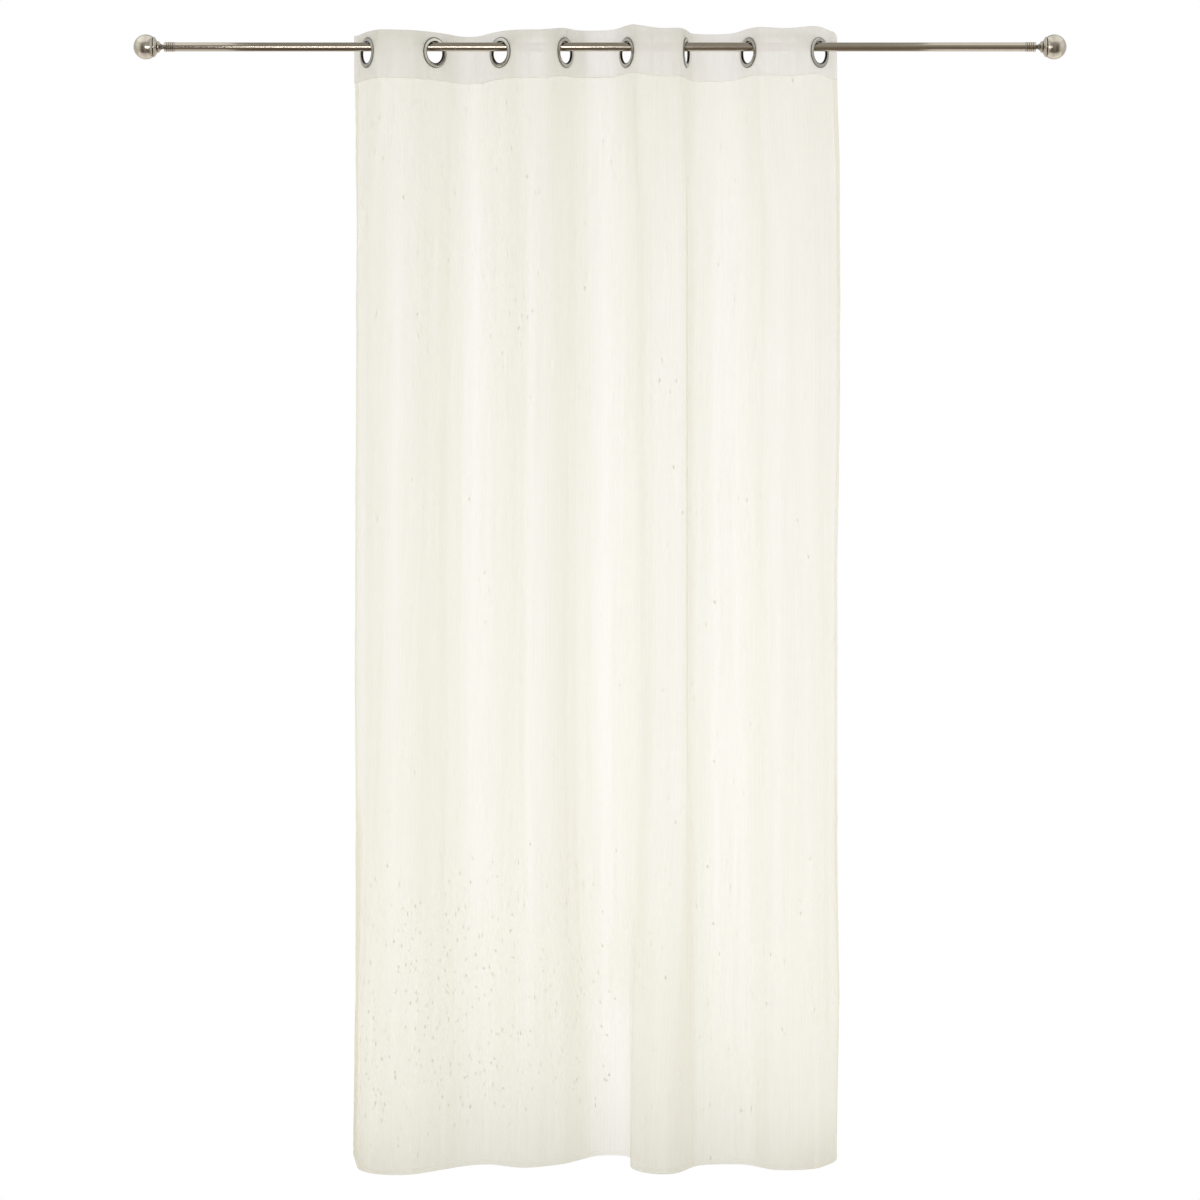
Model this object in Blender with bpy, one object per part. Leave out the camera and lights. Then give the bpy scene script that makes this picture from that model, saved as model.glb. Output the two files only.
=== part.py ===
"""A sheer voile curtain with an eyelet heading, hung in folds on a straight metal curtain rod.

The rod lies along X with its axis through the origin, the viewer stands at -Y, and +Z is up.
The cloth is one drop, 1400 mm wide when flat and 2400 mm tall. It weaves behind and in front
of the rod through eight eyelets. At each eyelet the cloth is a flat flank that crosses the
rod's line at its own angle, and between two flanks it turns over in a rounded fold. The fold
table below gives those flanks at the rod, down the fall of the cloth and at the hem.
"""

import math
from typing import NamedTuple

import bmesh
import bpy
from mathutils import Matrix, Vector

MM = 0.001

# Clearance between pieces that touch or fit in one another
FIT_GAP = 0.3 * MM

# Curtain rod: one tube, with a ribbed cap and a ball finial at each end
ROD_RADIUS = 9.5 * MM
ROD_WALL = 1.0 * MM
ROD_HALF_LENGTH = 901.7 * MM
ROD_SEGMENTS = 32

# Ribbed end cap: a spigot in the tube, a grooved barrel and a blind hole for the finial's stud
CAP_RADIUS = 10.3 * MM
CAP_LENGTH = 21.9 * MM
CAP_SPIGOT_RADIUS = 8.1 * MM
CAP_SPIGOT_LENGTH = 14.0 * MM
CAP_GROOVES = 4
CAP_FIRST_GROOVE = 3.1 * MM
CAP_GROOVE_PITCH = 4.2 * MM
CAP_GROOVE_WIDTH = 1.6 * MM
CAP_GROOVE_DEPTH = 0.7 * MM
CAP_CHAMFER = 1.8 * MM
CAP_HOLE_RADIUS = 3.5 * MM
CAP_HOLE_DEPTH = 8.0 * MM
CAP_SEGMENTS = 20

# Ball finial: stud, neck, small disc, flared cup, shadow groove and ball
BALL_RADIUS = 26.3 * MM
BALL_START = -15.7 * MM
BALL_STEPS = 9
STUD_RADIUS = 3.2 * MM
STUD_LENGTH = 7.0 * MM
FINIAL_SEGMENTS = 24


class TurnedPoint(NamedTuple):
    """A point of a turned outline: its place along the axis and its radius, in mm."""

    along: float
    radius: float


# From the neck to the groove under the ball, measured from the ball's centre
FINIAL_STEM = (
    TurnedPoint(-38.3, 4.6),
    TurnedPoint(-35.5, 4.7),
    TurnedPoint(-31.5, 6.6),
    TurnedPoint(-28.6, 9.6),
    TurnedPoint(-27.4, 12.1),
    TurnedPoint(-25.8, 12.3),
    TurnedPoint(-25.0, 10.8),
    TurnedPoint(-23.9, 12.2),
    TurnedPoint(-21.0, 17.2),
    TurnedPoint(-18.6, 21.2),
    TurnedPoint(-17.3, 20.9),
    TurnedPoint(-16.9, 18.4),
    TurnedPoint(-15.9, 18.4),
)

# Eyelets: turned rings in two halves, which grip the band in a groove
EYELET_INNER_RADIUS = 22.0 * MM
EYELET_OUTER_RADIUS = 32.5 * MM
EYELET_NECK_RADIUS = 24.6 * MM
EYELET_BORE_HALF = 1.3 * MM
EYELET_CROWN_RADIUS = 23.6 * MM
EYELET_CROWN_HALF = 2.9 * MM
EYELET_BROW_RADIUS = 30.0 * MM
EYELET_BROW_HALF = 2.5 * MM
EYELET_SEGMENTS = 28

# How far the punch that cuts the band's holes reaches on each side of the cloth
PUNCH_REACH = 10.0 * MM

# Cloth
CLOTH_WIDTH = 1400.0 * MM
EYELET_PITCH = 186.0 * MM
VOILE_THICKNESS = 1.0 * MM
BAND_THICKNESS = 2.2 * MM
BAND_HEIGHT = 102.0 * MM
HEM_HEIGHT = -2371.0 * MM

# Flat stretch on each side of a flank's middle: as wide as the ring at the rod, short below it
FLAT_AT_ROD = 33.0 * MM
FLAT_BELOW = 10.0 * MM

# How far down the cloth each stage of the folds is reached, from 0 at the band to 1 at the hem
FALL_REACHED = 0.15
HEM_STARTS = 0.55

# Mesh steps of the cloth
MARGIN_STEPS = 3
FOLD_STEPS = 8
PANEL_ROWS = 16
ROW_CROWDING = 1.25
ARC_SAMPLES = 24
BULGE_TRIALS = 30

# Share of a fold's cloth over which it still follows the flank
FOLD_REACH = 0.22


class Flank(NamedTuple):
    """One crossing of the rod's line, in mm and degrees.

    A tilt is the angle between the cloth and the rod. Flanks go in turn towards the viewer
    and away, starting at the left edge, which hangs behind the rod.
    """

    rod_x: float
    rod_tilt: float
    fall_x: float
    fall_tilt: float
    hem_x: float
    hem_y: float
    hem_tilt: float
    hem_cloth: float      # flat cloth at the hem since the flank before, or since the left edge
    top: float            # height of the cloth's top edge over the rod's axis at this flank
    top_after: float      # the same in the middle of the fold after it, or at the right edge


FLANKS = (
    Flank(-493.5, 58.5, -503.0, 72.0, -519.0, 20.0, 80.0, 72.0, 32.2, 29.2),
    Flank(-350.6, 44.0, -350.0, 52.0, -336.0, -36.0, 31.0, 250.0, 31.1, 29.6),
    Flank(-211.2, 45.0, -208.0, 46.0, -200.0, -6.0, 24.0, 149.0, 33.2, 28.9),
    Flank(-73.8, 59.0, -70.0, 60.0, -43.0, 42.0, 45.0, 177.0, 40.2, 43.0),
    Flank(56.8, 61.5, 76.0, 66.0, 66.0, 30.0, 92.0, 159.0, 45.4, 32.3),
    Flank(182.5, 76.0, 182.0, 80.0, 186.0, -28.0, 55.0, 209.0, 36.0, 34.4),
    Flank(314.4, 61.0, 328.0, 52.0, 338.0, -15.0, 39.0, 172.0, 38.8, 33.1),
    Flank(465.3, 49.0, 478.0, 60.0, 478.0, -2.0, 50.0, 158.0, 43.0, 36.9),
)
LEFT_EDGE_TOP = 29.3


class Edge(NamedTuple):
    """Tilt of the cloth at one of its side edges, at the three stages, in degrees."""

    rod_tilt: float
    fall_tilt: float
    hem_tilt: float


LEFT_EDGE = Edge(61.0, 70.0, 81.0)
RIGHT_EDGE = Edge(6.0, 30.0, 70.0)

# Finishes: colour, roughness, metallic
VOILE_FINISH = ((0.90, 0.88, 0.82), 0.85, 0.0)
BAND_FINISH = ((0.80, 0.78, 0.72), 0.85, 0.0)
EYELET_FINISH = ((0.62, 0.61, 0.58), 0.25, 1.0)
ROD_FINISH = ((0.56, 0.52, 0.46), 0.30, 1.0)
FINIAL_FINISH = ((0.60, 0.57, 0.50), 0.35, 1.0)

SMOOTH_ANGLE = math.radians(35.0)
MERGE_DISTANCE = 1e-6


def clear_scene():
    """Remove every object that the file opened with."""
    for thing in list(bpy.data.objects):
        bpy.data.objects.remove(thing, do_unlink=True)


def make_material(name, finish):
    """Return a Principled material with the given colour, roughness and metallic value."""
    colour, roughness, metallic = finish
    material = bpy.data.materials.new(name)
    material.use_nodes = True
    shader = material.node_tree.nodes["Principled BSDF"]
    shader.inputs["Base Color"].default_value = (*colour, 1.0)
    shader.inputs["Roughness"].default_value = roughness
    shader.inputs["Metallic"].default_value = metallic
    return material


def add_object(name, mesh, finish):
    """Link a mesh into the scene as a named object with a material of its own."""
    mesh.materials.append(make_material(name + "_finish", finish))
    thing = bpy.data.objects.new(name, mesh)
    bpy.context.scene.collection.objects.link(thing)
    return thing


# ---------------------------------------------------------------- turned pieces


def turned_mesh(name, outline, segments, closed=False, start=0.0):
    """Spin an outline of (along, radius) points about the X axis into a closed solid.

    An open outline begins and ends on the axis. A closed one is joined end to start and
    gives a ring or a tube. The first copy stands at the angle start from +Z.
    """
    shape = bmesh.new()
    first = Matrix.Rotation(start, 3, "X")
    points = [shape.verts.new(first @ Vector((along, 0.0, radius))) for along, radius in outline]
    pairs = list(zip(points, points[1:]))
    if closed:
        pairs.append((points[-1], points[0]))
    edges = [shape.edges.new(pair) for pair in pairs]
    bmesh.ops.spin(
        shape,
        geom=points + edges,
        axis=(1.0, 0.0, 0.0),
        cent=(0.0, 0.0, 0.0),
        angle=2.0 * math.pi,
        steps=segments,
    )
    bmesh.ops.remove_doubles(shape, verts=shape.verts, dist=MERGE_DISTANCE)
    bmesh.ops.recalc_face_normals(shape, faces=shape.faces)
    mesh = bpy.data.meshes.new(name)
    shape.to_mesh(mesh)
    shape.free()
    mesh.shade_smooth()
    mesh.set_sharp_from_angle(angle=SMOOTH_ANGLE)
    return mesh


def build_rod():
    """The straight tube that the cloth hangs from."""
    inner = ROD_RADIUS - ROD_WALL
    outline = [
        (-ROD_HALF_LENGTH, inner),
        (-ROD_HALF_LENGTH, ROD_RADIUS),
        (ROD_HALF_LENGTH, ROD_RADIUS),
        (ROD_HALF_LENGTH, inner),
    ]
    add_object("rod", turned_mesh("rod", outline, ROD_SEGMENTS, closed=True), ROD_FINISH)


def cap_outline():
    """Outline of an end cap, from the spigot's end in the tube to the hole in its outer face."""
    outline = [
        (-CAP_SPIGOT_LENGTH, 0.0),
        (-CAP_SPIGOT_LENGTH, CAP_SPIGOT_RADIUS),
        (0.0, CAP_SPIGOT_RADIUS),
        (0.0, CAP_RADIUS),
    ]
    for groove in range(CAP_GROOVES):
        middle = CAP_FIRST_GROOVE + CAP_GROOVE_PITCH * groove
        outline.append((middle - CAP_GROOVE_WIDTH / 2, CAP_RADIUS))
        outline.append((middle, CAP_RADIUS - CAP_GROOVE_DEPTH))
        outline.append((middle + CAP_GROOVE_WIDTH / 2, CAP_RADIUS))
    outline += [
        (CAP_LENGTH - CAP_CHAMFER, CAP_RADIUS),
        (CAP_LENGTH, CAP_RADIUS - CAP_CHAMFER),
        (CAP_LENGTH, CAP_HOLE_RADIUS),
        (CAP_LENGTH - CAP_HOLE_DEPTH, CAP_HOLE_RADIUS),
        (CAP_LENGTH - CAP_HOLE_DEPTH, 0.0),
    ]
    return outline


def finial_outline():
    """Outline of a finial, from the stud's end to the far pole of the ball."""
    shoulder = FINIAL_STEM[0].along * MM
    outline = [
        (shoulder - STUD_LENGTH, 0.0),
        (shoulder - STUD_LENGTH, STUD_RADIUS),
        (shoulder, STUD_RADIUS),
    ]
    outline += [(point.along * MM, point.radius * MM) for point in FINIAL_STEM]
    first_angle = math.acos(BALL_START / BALL_RADIUS)
    for step in range(BALL_STEPS):
        angle = first_angle * (1.0 - step / BALL_STEPS)
        outline.append((BALL_RADIUS * math.cos(angle), BALL_RADIUS * math.sin(angle)))
    outline.append((BALL_RADIUS, 0.0))
    return outline


def build_rod_ends():
    """The cap and the finial at each end of the rod."""
    cap_start = ROD_HALF_LENGTH + FIT_GAP
    ball_centre = cap_start + CAP_LENGTH + FIT_GAP - FINIAL_STEM[0].along * MM
    for side, turn in (("right", 0.0), ("left", math.pi)):
        cap = add_object(
            "end_cap_" + side,
            turned_mesh("end_cap_" + side, cap_outline(), CAP_SEGMENTS),
            ROD_FINISH,
        )
        finial = add_object(
            "finial_" + side,
            turned_mesh("finial_" + side, finial_outline(), FINIAL_SEGMENTS),
            FINIAL_FINISH,
        )
        for piece, distance in ((cap, cap_start), (finial, ball_centre)):
            piece.rotation_euler.z = turn
            piece.location.x = distance * math.cos(turn)


# ---------------------------------------------------------------- folds of the cloth


def ease(value):
    """Smooth step from 0 to 1."""
    value = min(1.0, max(0.0, value))
    return value * value * (3.0 - 2.0 * value)


def staged(at_rod, in_fall, at_hem, drop):
    """Value at a depth down the cloth, from its values at the rod, in the fall and at the hem."""
    upper = at_rod + (in_fall - at_rod) * ease(drop / FALL_REACHED)
    return upper + (at_hem - in_fall) * ease((drop - HEM_STARTS) / (1.0 - HEM_STARTS))


def mixed(at_rod, at_hem, drop):
    """Value that changes evenly from the rod to the hem."""
    return at_rod + (at_hem - at_rod) * drop


def flank_place(index, drop):
    """Middle of a flank at a depth down the cloth."""
    flank = FLANKS[index]
    across = staged(flank.rod_x, flank.fall_x, flank.hem_x, drop) * MM
    return Vector((across, flank.hem_y * MM * drop))


def flank_side(index):
    """-1 where the cloth, followed to the right, comes towards the viewer, +1 where it goes away."""
    return -1.0 if index % 2 == 0 else 1.0


def direction(tilt, side):
    """Unit direction of the cloth in plan, going right."""
    angle = math.radians(tilt)
    return Vector((math.cos(angle), side * math.sin(angle)))


def flank_tilt(index, drop):
    """Angle between the cloth and the rod at a flank."""
    flank = FLANKS[index]
    return staged(flank.rod_tilt, flank.fall_tilt, flank.hem_tilt, drop)


def cloth_between(index, drop):
    """Flat cloth between a flank and the next one."""
    return mixed(EYELET_PITCH, FLANKS[index + 1].hem_cloth * MM, drop)


def fold_curve(ends, ways, reach, bulge):
    """Return a smooth curve between two flanks, as a function of its share from 0 to 1.

    It leaves each flank along the flank's own way over the given reach, and its middle is
    pushed out square to the line between the flanks by the bulge.
    """
    start, end = ends
    near = start + ways[0] * reach
    far = end - ways[1] * reach
    span = end - start
    out = Vector((-span.y, span.x)).normalized()
    if (near - start).dot(out) < 0.0:
        out = -out
    control = (start, near, near + out * bulge, far + out * bulge, far, end)
    order = len(control) - 1

    def curve(share):
        weights = [
            math.comb(order, k) * share ** k * (1.0 - share) ** (order - k) for k in range(order + 1)
        ]
        return sum((point * weight for point, weight in zip(control, weights)), Vector((0.0, 0.0)))

    return curve


def curve_length(curve):
    """Length of a curve given as a function of its share from 0 to 1."""
    points = [curve(step / ARC_SAMPLES) for step in range(ARC_SAMPLES + 1)]
    return sum((b - a).length for a, b in zip(points, points[1:]))


def fold_points(ends, ways, cloth):
    """Points of a fold that takes up the given length of cloth, its two ends included."""
    reach = FOLD_REACH * cloth
    low, high = 0.0, cloth
    for _ in range(BULGE_TRIALS):
        middle = (low + high) / 2.0
        if curve_length(fold_curve(ends, ways, reach, middle)) < cloth:
            low = middle
        else:
            high = middle
    curve = fold_curve(ends, ways, reach, low)
    return [curve(step / FOLD_STEPS) for step in range(FOLD_STEPS + 1)]


def margin_points(place, tilt, edge_tilt, side, cloth, outward):
    """Points from the end of an outer flank to the cloth's side edge, bending evenly."""
    points = []
    step = cloth / MARGIN_STEPS
    for count in range(MARGIN_STEPS):
        turned = tilt + (edge_tilt - tilt) * (count + 0.5) / MARGIN_STEPS
        place = place + direction(turned, side) * (step * outward)
        points.append(place)
    return points


def plan_line(drop):
    """Points of the cloth's middle surface in plan at a depth, from its left to its right edge."""
    flat = staged(FLAT_AT_ROD, FLAT_BELOW, FLAT_BELOW, drop)
    last = len(FLANKS) - 1
    outer = (CLOTH_WIDTH - EYELET_PITCH * last) / 2.0
    hem_right = CLOTH_WIDTH - sum(flank.hem_cloth for flank in FLANKS) * MM
    left_cloth = mixed(outer, FLANKS[0].hem_cloth * MM, drop) - flat
    right_cloth = mixed(outer, hem_right, drop) - flat

    ways = [direction(flank_tilt(i, drop), flank_side(i)) for i in range(len(FLANKS))]
    middles = [flank_place(i, drop) for i in range(len(FLANKS))]

    left_tilt = staged(*LEFT_EDGE, drop)
    left_start = middles[0] - ways[0] * flat
    left = margin_points(left_start, flank_tilt(0, drop), left_tilt, flank_side(0), left_cloth, -1.0)
    line = left[::-1] + [left_start, middles[0]]
    for index in range(last):
        start = middles[index] + ways[index] * flat
        end = middles[index + 1] - ways[index + 1] * flat
        cloth = cloth_between(index, drop) - 2.0 * flat
        line += fold_points((start, end), (ways[index], ways[index + 1]), cloth)
        line.append(middles[index + 1])
    right_tilt = staged(*RIGHT_EDGE, drop)
    right_start = middles[last] + ways[last] * flat
    line.append(right_start)
    line += margin_points(
        right_start, flank_tilt(last, drop), right_tilt, flank_side(last), right_cloth, 1.0
    )
    return line


def eased_steps(start, end, steps):
    """Values after each of the given number of steps on a smooth way from start to end."""
    return [start + (end - start) * ease(step / steps) for step in range(1, steps + 1)]


def top_heights():
    """Height of the cloth's top edge at each point of a plan line."""
    margin = MARGIN_STEPS + 1
    half_fold = (FOLD_STEPS + 2) // 2
    last = FLANKS[-1]
    heights = [LEFT_EDGE_TOP] + eased_steps(LEFT_EDGE_TOP, FLANKS[0].top, margin)
    for flank, following in zip(FLANKS, FLANKS[1:]):
        heights += eased_steps(flank.top, flank.top_after, half_fold)
        heights += eased_steps(flank.top_after, following.top, half_fold)
    heights += eased_steps(last.top, last.top_after, margin)
    return [height * MM for height in heights]


def sheet_mesh(name, rows):
    """Mesh of a sheet's middle surface from rows of points, the top row first."""
    shape = bmesh.new()
    grid = [[shape.verts.new(point) for point in row] for row in rows]
    for upper, lower in zip(grid, grid[1:]):
        for column in range(len(upper) - 1):
            shape.faces.new((
                upper[column], lower[column], lower[column + 1], upper[column + 1],
            ))
    mesh = bpy.data.meshes.new(name)
    shape.to_mesh(mesh)
    shape.free()
    mesh.shade_smooth()
    return mesh


def thicken(thing, thickness):
    """Give a sheet its thickness, half of it on each side."""
    wall = thing.modifiers.new("cloth_thickness", "SOLIDIFY")
    wall.thickness = thickness
    wall.offset = 0.0
    wall.use_even_offset = True


def build_panel():
    """The voile: one drop with its hung folds, from under the band to the hem."""
    seam = [height - BAND_HEIGHT - FIT_GAP for height in top_heights()]
    rows = []
    for step in range(PANEL_ROWS + 1):
        drop = (step / PANEL_ROWS) ** ROW_CROWDING
        rows.append([
            Vector((place.x, place.y, start + (HEM_HEIGHT - start) * drop))
            for place, start in zip(plan_line(drop), seam)
        ])
    panel = add_object("voile_panel", sheet_mesh("voile_panel", rows), VOILE_FINISH)
    thicken(panel, VOILE_THICKNESS)


def eyelet_height():
    """Height of the eyelets' centres: each ring hangs on top of the rod."""
    half_step = math.pi / EYELET_SEGMENTS
    return ROD_RADIUS + FIT_GAP - EYELET_INNER_RADIUS * math.cos(half_step)


def eyelet_turn(index):
    """Turn about Z that lays a ring's axis square to the cloth at a flank."""
    return flank_side(index) * math.radians(FLANKS[index].rod_tilt) + math.pi / 2.0


def place_at_flank(thing, index):
    """Put a turned piece on the middle of a flank, on the eyelets' height."""
    thing.location = (FLANKS[index].rod_x * MM, 0.0, eyelet_height())
    thing.rotation_euler.z = eyelet_turn(index)


def build_band():
    """The heading: cloth over a stiffener, on the folds at the rod, with a hole for each ring."""
    places = plan_line(0.0)
    top = [Vector((place.x, place.y, height)) for place, height in zip(places, top_heights())]
    bottom = [point - Vector((0.0, 0.0, BAND_HEIGHT)) for point in top]
    band = add_object("heading_band", sheet_mesh("heading_band", [top, bottom]), BAND_FINISH)
    thicken(band, BAND_THICKNESS)

    hole = EYELET_NECK_RADIUS + FIT_GAP / math.cos(math.pi / EYELET_SEGMENTS)
    outline = [
        (-PUNCH_REACH, 0.0),
        (-PUNCH_REACH, hole),
        (PUNCH_REACH, hole),
        (PUNCH_REACH, 0.0),
    ]
    half_step = math.pi / EYELET_SEGMENTS
    punch = turned_mesh("punch", outline, EYELET_SEGMENTS, start=half_step)
    for index in range(len(FLANKS)):
        cutter = bpy.data.objects.new("punch_%d" % (index + 1), punch)
        bpy.context.scene.collection.objects.link(cutter)
        cutter.hide_render = True
        cutter.display_type = "WIRE"
        place_at_flank(cutter, index)
        cut = band.modifiers.new("hole_%d" % (index + 1), "BOOLEAN")
        cut.operation = "DIFFERENCE"
        cut.solver = "EXACT"
        cut.object = cutter


def build_eyelets():
    """The eight rings, each gripping the band in its groove and hanging on the rod."""
    groove = BAND_THICKNESS / 2.0 + FIT_GAP
    front_half = [
        (EYELET_BORE_HALF, EYELET_INNER_RADIUS),
        (EYELET_CROWN_HALF, EYELET_CROWN_RADIUS),
        (EYELET_BROW_HALF, EYELET_BROW_RADIUS),
        (groove, EYELET_OUTER_RADIUS),
        (groove, EYELET_NECK_RADIUS),
    ]
    back_half = [(-along, radius) for along, radius in reversed(front_half)]
    half_step = math.pi / EYELET_SEGMENTS
    for index in range(len(FLANKS)):
        name = "eyelet_%d" % (index + 1)
        mesh = turned_mesh(name, front_half + back_half, EYELET_SEGMENTS, True, half_step)
        place_at_flank(add_object(name, mesh, EYELET_FINISH), index)


def main():
    """Build the curtain and its rod."""
    clear_scene()
    build_rod()
    build_rod_ends()
    build_panel()
    build_band()
    build_eyelets()


main()
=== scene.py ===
"""Looks of a sheer voile curtain with an eyelet heading, hung on a straight metal curtain rod.

The rod lies along X with its axis through the origin, the viewer stands at -Y, and +Z is up.
Every cloth piece follows the folds in which the curtain hangs: at each eyelet the cloth is a
flat flank that crosses the rod's line at its own angle, and between two flanks it turns over
in a rounded fold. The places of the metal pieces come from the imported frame.
"""

from __future__ import annotations

import logging
import math
from dataclasses import dataclass
from enum import Enum
from functools import wraps
from typing import Callable, NamedTuple, Optional, Sequence, Union

import bmesh
import bpy
import numpy as np
from mathutils import Matrix, Vector

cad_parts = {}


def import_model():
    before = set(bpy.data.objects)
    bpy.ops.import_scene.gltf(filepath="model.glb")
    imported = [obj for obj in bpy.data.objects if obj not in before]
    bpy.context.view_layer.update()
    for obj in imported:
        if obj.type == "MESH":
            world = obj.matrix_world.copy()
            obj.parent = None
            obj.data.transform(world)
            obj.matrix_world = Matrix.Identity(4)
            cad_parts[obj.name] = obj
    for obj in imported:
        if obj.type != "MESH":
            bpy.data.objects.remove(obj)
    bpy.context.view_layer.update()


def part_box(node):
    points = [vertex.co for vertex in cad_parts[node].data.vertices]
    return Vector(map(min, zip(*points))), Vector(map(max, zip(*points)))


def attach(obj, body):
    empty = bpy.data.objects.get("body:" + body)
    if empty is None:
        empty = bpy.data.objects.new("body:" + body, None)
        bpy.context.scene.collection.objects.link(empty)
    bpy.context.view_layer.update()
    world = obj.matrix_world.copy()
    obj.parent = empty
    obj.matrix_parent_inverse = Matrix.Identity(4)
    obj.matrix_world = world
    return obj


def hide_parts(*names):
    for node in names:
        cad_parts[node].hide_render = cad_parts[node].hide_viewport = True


LOG = logging.getLogger("voile_curtain")

MM = 0.001
BODY = "root"

SHARP_ANGLE = math.radians(35.0)
MERGE_DISTANCE = 1e-6

CLOTH_MAP = "cloth"
LAYERS = "layers"
# stored painted shade and light in bands on the cloth, with its unevenly spun yarn
PAINTED_SHADE_AND_YARN = "painted_shade_and_yarn"
# stored share of painted shade on the metal pieces, in bores, grooves and gaps
PAINTED_SHADE = "painted_shade"
SLUB_DENSITY = "slub_density"

EYELET_COUNT = 8

Array = np.ndarray
Mesh = bpy.types.Mesh
Node = bpy.types.Node
Object = bpy.types.Object
Socket = bpy.types.NodeSocket
Tree = bpy.types.NodeTree
SocketValue = Union[Socket, float, int, str, Sequence[float]]
Tone = tuple[float, float, float, float]
Outline = list[tuple[float, float]]


class End(Enum):
    """The two ends of the rod, by the sign of X."""

    LEFT = -1
    RIGHT = 1

    @property
    def label(self) -> str:
        """The end's name in the names of its pieces."""
        return self.name.lower()


class Slot(Enum):
    """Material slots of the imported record."""

    VOILE = "voile"
    HEADING = "heading"
    EYELET = "eyelet_metal"
    ROD = "rod_metal"
    FINIAL = "finial_metal"


# ---------------------------------------------------------------- helpers


def ease(value: Union[Array, float]) -> Array:
    """Smooth step from 0 to 1, level at both ends."""
    held = np.clip(value, 0.0, 1.0)
    return held * held * (3.0 - 2.0 * held)


def past(value: Array, start: float, fade: float) -> Array:
    """Smooth step that is 0 up to the start and 1 from a fade's length after it."""
    return ease((value - start) / fade)


def colour(red: float, green: float, blue: float) -> Tone:
    """Opaque colour from three linear parts."""
    return (red, green, blue, 1.0)


class Wiring:
    """Adds nodes to a shader or geometry tree and joins their sockets."""

    def __init__(self, tree: Tree) -> None:
        """Keep the tree that the nodes go into."""
        self.tree = tree

    def node(self, kind: str, feeds: Optional[dict[str, SocketValue]] = None, **settings: object) -> Node:
        """Add a node.

        Args:
            kind: Blender's name of the node type.
            feeds: Links or plain values for its inputs, by name.
            settings: Values of the node's own properties.

        Returns:
            The new node.
        """
        made = self.tree.nodes.new(kind)
        for name, value in settings.items():
            setattr(made, name, value)
        for name, value in (feeds or {}).items():
            self.feed(made.inputs[name], value)
        return made

    def feed(self, target: Socket, value: SocketValue) -> None:
        """Give a socket a link, if the value is a socket, or else a plain value.

        Args:
            target: The input.
            value: What goes into it.
        """
        if isinstance(value, Socket):
            self.tree.links.new(value, target)
        else:
            target.default_value = value

    def in_order(self, kind: str, *values: SocketValue, **settings: object) -> Node:
        """Add a node and feed its inputs in their order.

        Args:
            kind: Blender's name of the node type.
            values: Links or plain values, in the order of its inputs.
            settings: Values of the node's own properties.

        Returns:
            The new node.
        """
        made = self.node(kind, **settings)
        for target, value in zip(made.inputs, values):
            self.feed(target, value)
        return made

    def maths(self, operation: str, *values: SocketValue, clamp: bool = False) -> Socket:
        """Add a Math node, its result kept between 0 and 1 if clamped, and return the result."""
        return self.in_order("ShaderNodeMath", *values, operation=operation, use_clamp=clamp).outputs[0]

    def remap(self, value: Socket, low: float, high: float) -> Socket:
        """Add a Map Range node from low and high to 0 and 1, and return its result."""
        return self.in_order("ShaderNodeMapRange", value, low, high, 0.0, 1.0).outputs["Result"]

    def blend(self, share: SocketValue, first: SocketValue, second: SocketValue) -> Socket:
        """Add a colour Mix node and return its colour.

        Args:
            share: How much of the second colour there is.
            first: Colour at 0.
            second: Colour at 1.

        Returns:
            The mixed colour.
        """
        made = self.node("ShaderNodeMix", {"Factor": share}, data_type="RGBA")
        colours = [socket for socket in made.inputs if socket.type == "RGBA"]
        for target, value in zip(colours, (first, second)):
            self.feed(target, value)
        return next(socket for socket in made.outputs if socket.type == "RGBA")

    def bump(self, height: Socket, strength: float, distance: float) -> Socket:
        """Add a Bump node and return its normal."""
        feeds = {"Height": height, "Strength": strength, "Distance": distance}
        return self.node("ShaderNodeBump", feeds).outputs[0]

    def attribute(self, name: str) -> Socket:
        """Read a number that is stored on the mesh."""
        return self.node("ShaderNodeAttribute", attribute_name=name).outputs["Fac"]

    def split(self, vector: Socket) -> bpy.types.NodeOutputs:
        """Take a vector apart into its outputs X, Y and Z."""
        return self.in_order("ShaderNodeSeparateXYZ", vector).outputs

    def shaders(self, share: SocketValue, first: Node, second: Node) -> Node:
        """Mix two shader nodes."""
        return self.in_order("ShaderNodeMixShader", share, first.outputs[0], second.outputs[0])

    def surface(self, shader: Node, kind: str = "Material") -> None:
        """End a material or world with its shader."""
        self.in_order("ShaderNodeOutput" + kind, shader.outputs[0])

    def effect(self, tree: Tree, **values: SocketValue) -> Node:
        """Place a shared effect in a material.

        Args:
            tree: The shared node group.
            values: The group's inputs, with _ for a space in their names.

        Returns:
            The group's node.
        """
        feeds = {name.replace("_", " "): value for name, value in values.items()}
        return self.node("ShaderNodeGroup", feeds, node_tree=tree)


class GroupWiring(Wiring):
    """Wiring of a node group, with what its inputs give and what its outputs take."""

    def __init__(self, tree: Tree) -> None:
        """Add the group's input node and output node."""
        super().__init__(tree)
        self.given = self.node("NodeGroupInput").outputs
        self.taken = self.node("NodeGroupOutput").inputs


def cleared(owner: Union[bpy.types.Material, bpy.types.World]) -> Wiring:
    """Empty the node tree of a material or a world, and return its wiring.

    Args:
        owner: The material or world.

    Returns:
        The wiring of its empty tree.
    """
    owner.use_nodes = True
    owner.node_tree.nodes.clear()
    return Wiring(owner.node_tree)


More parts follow.
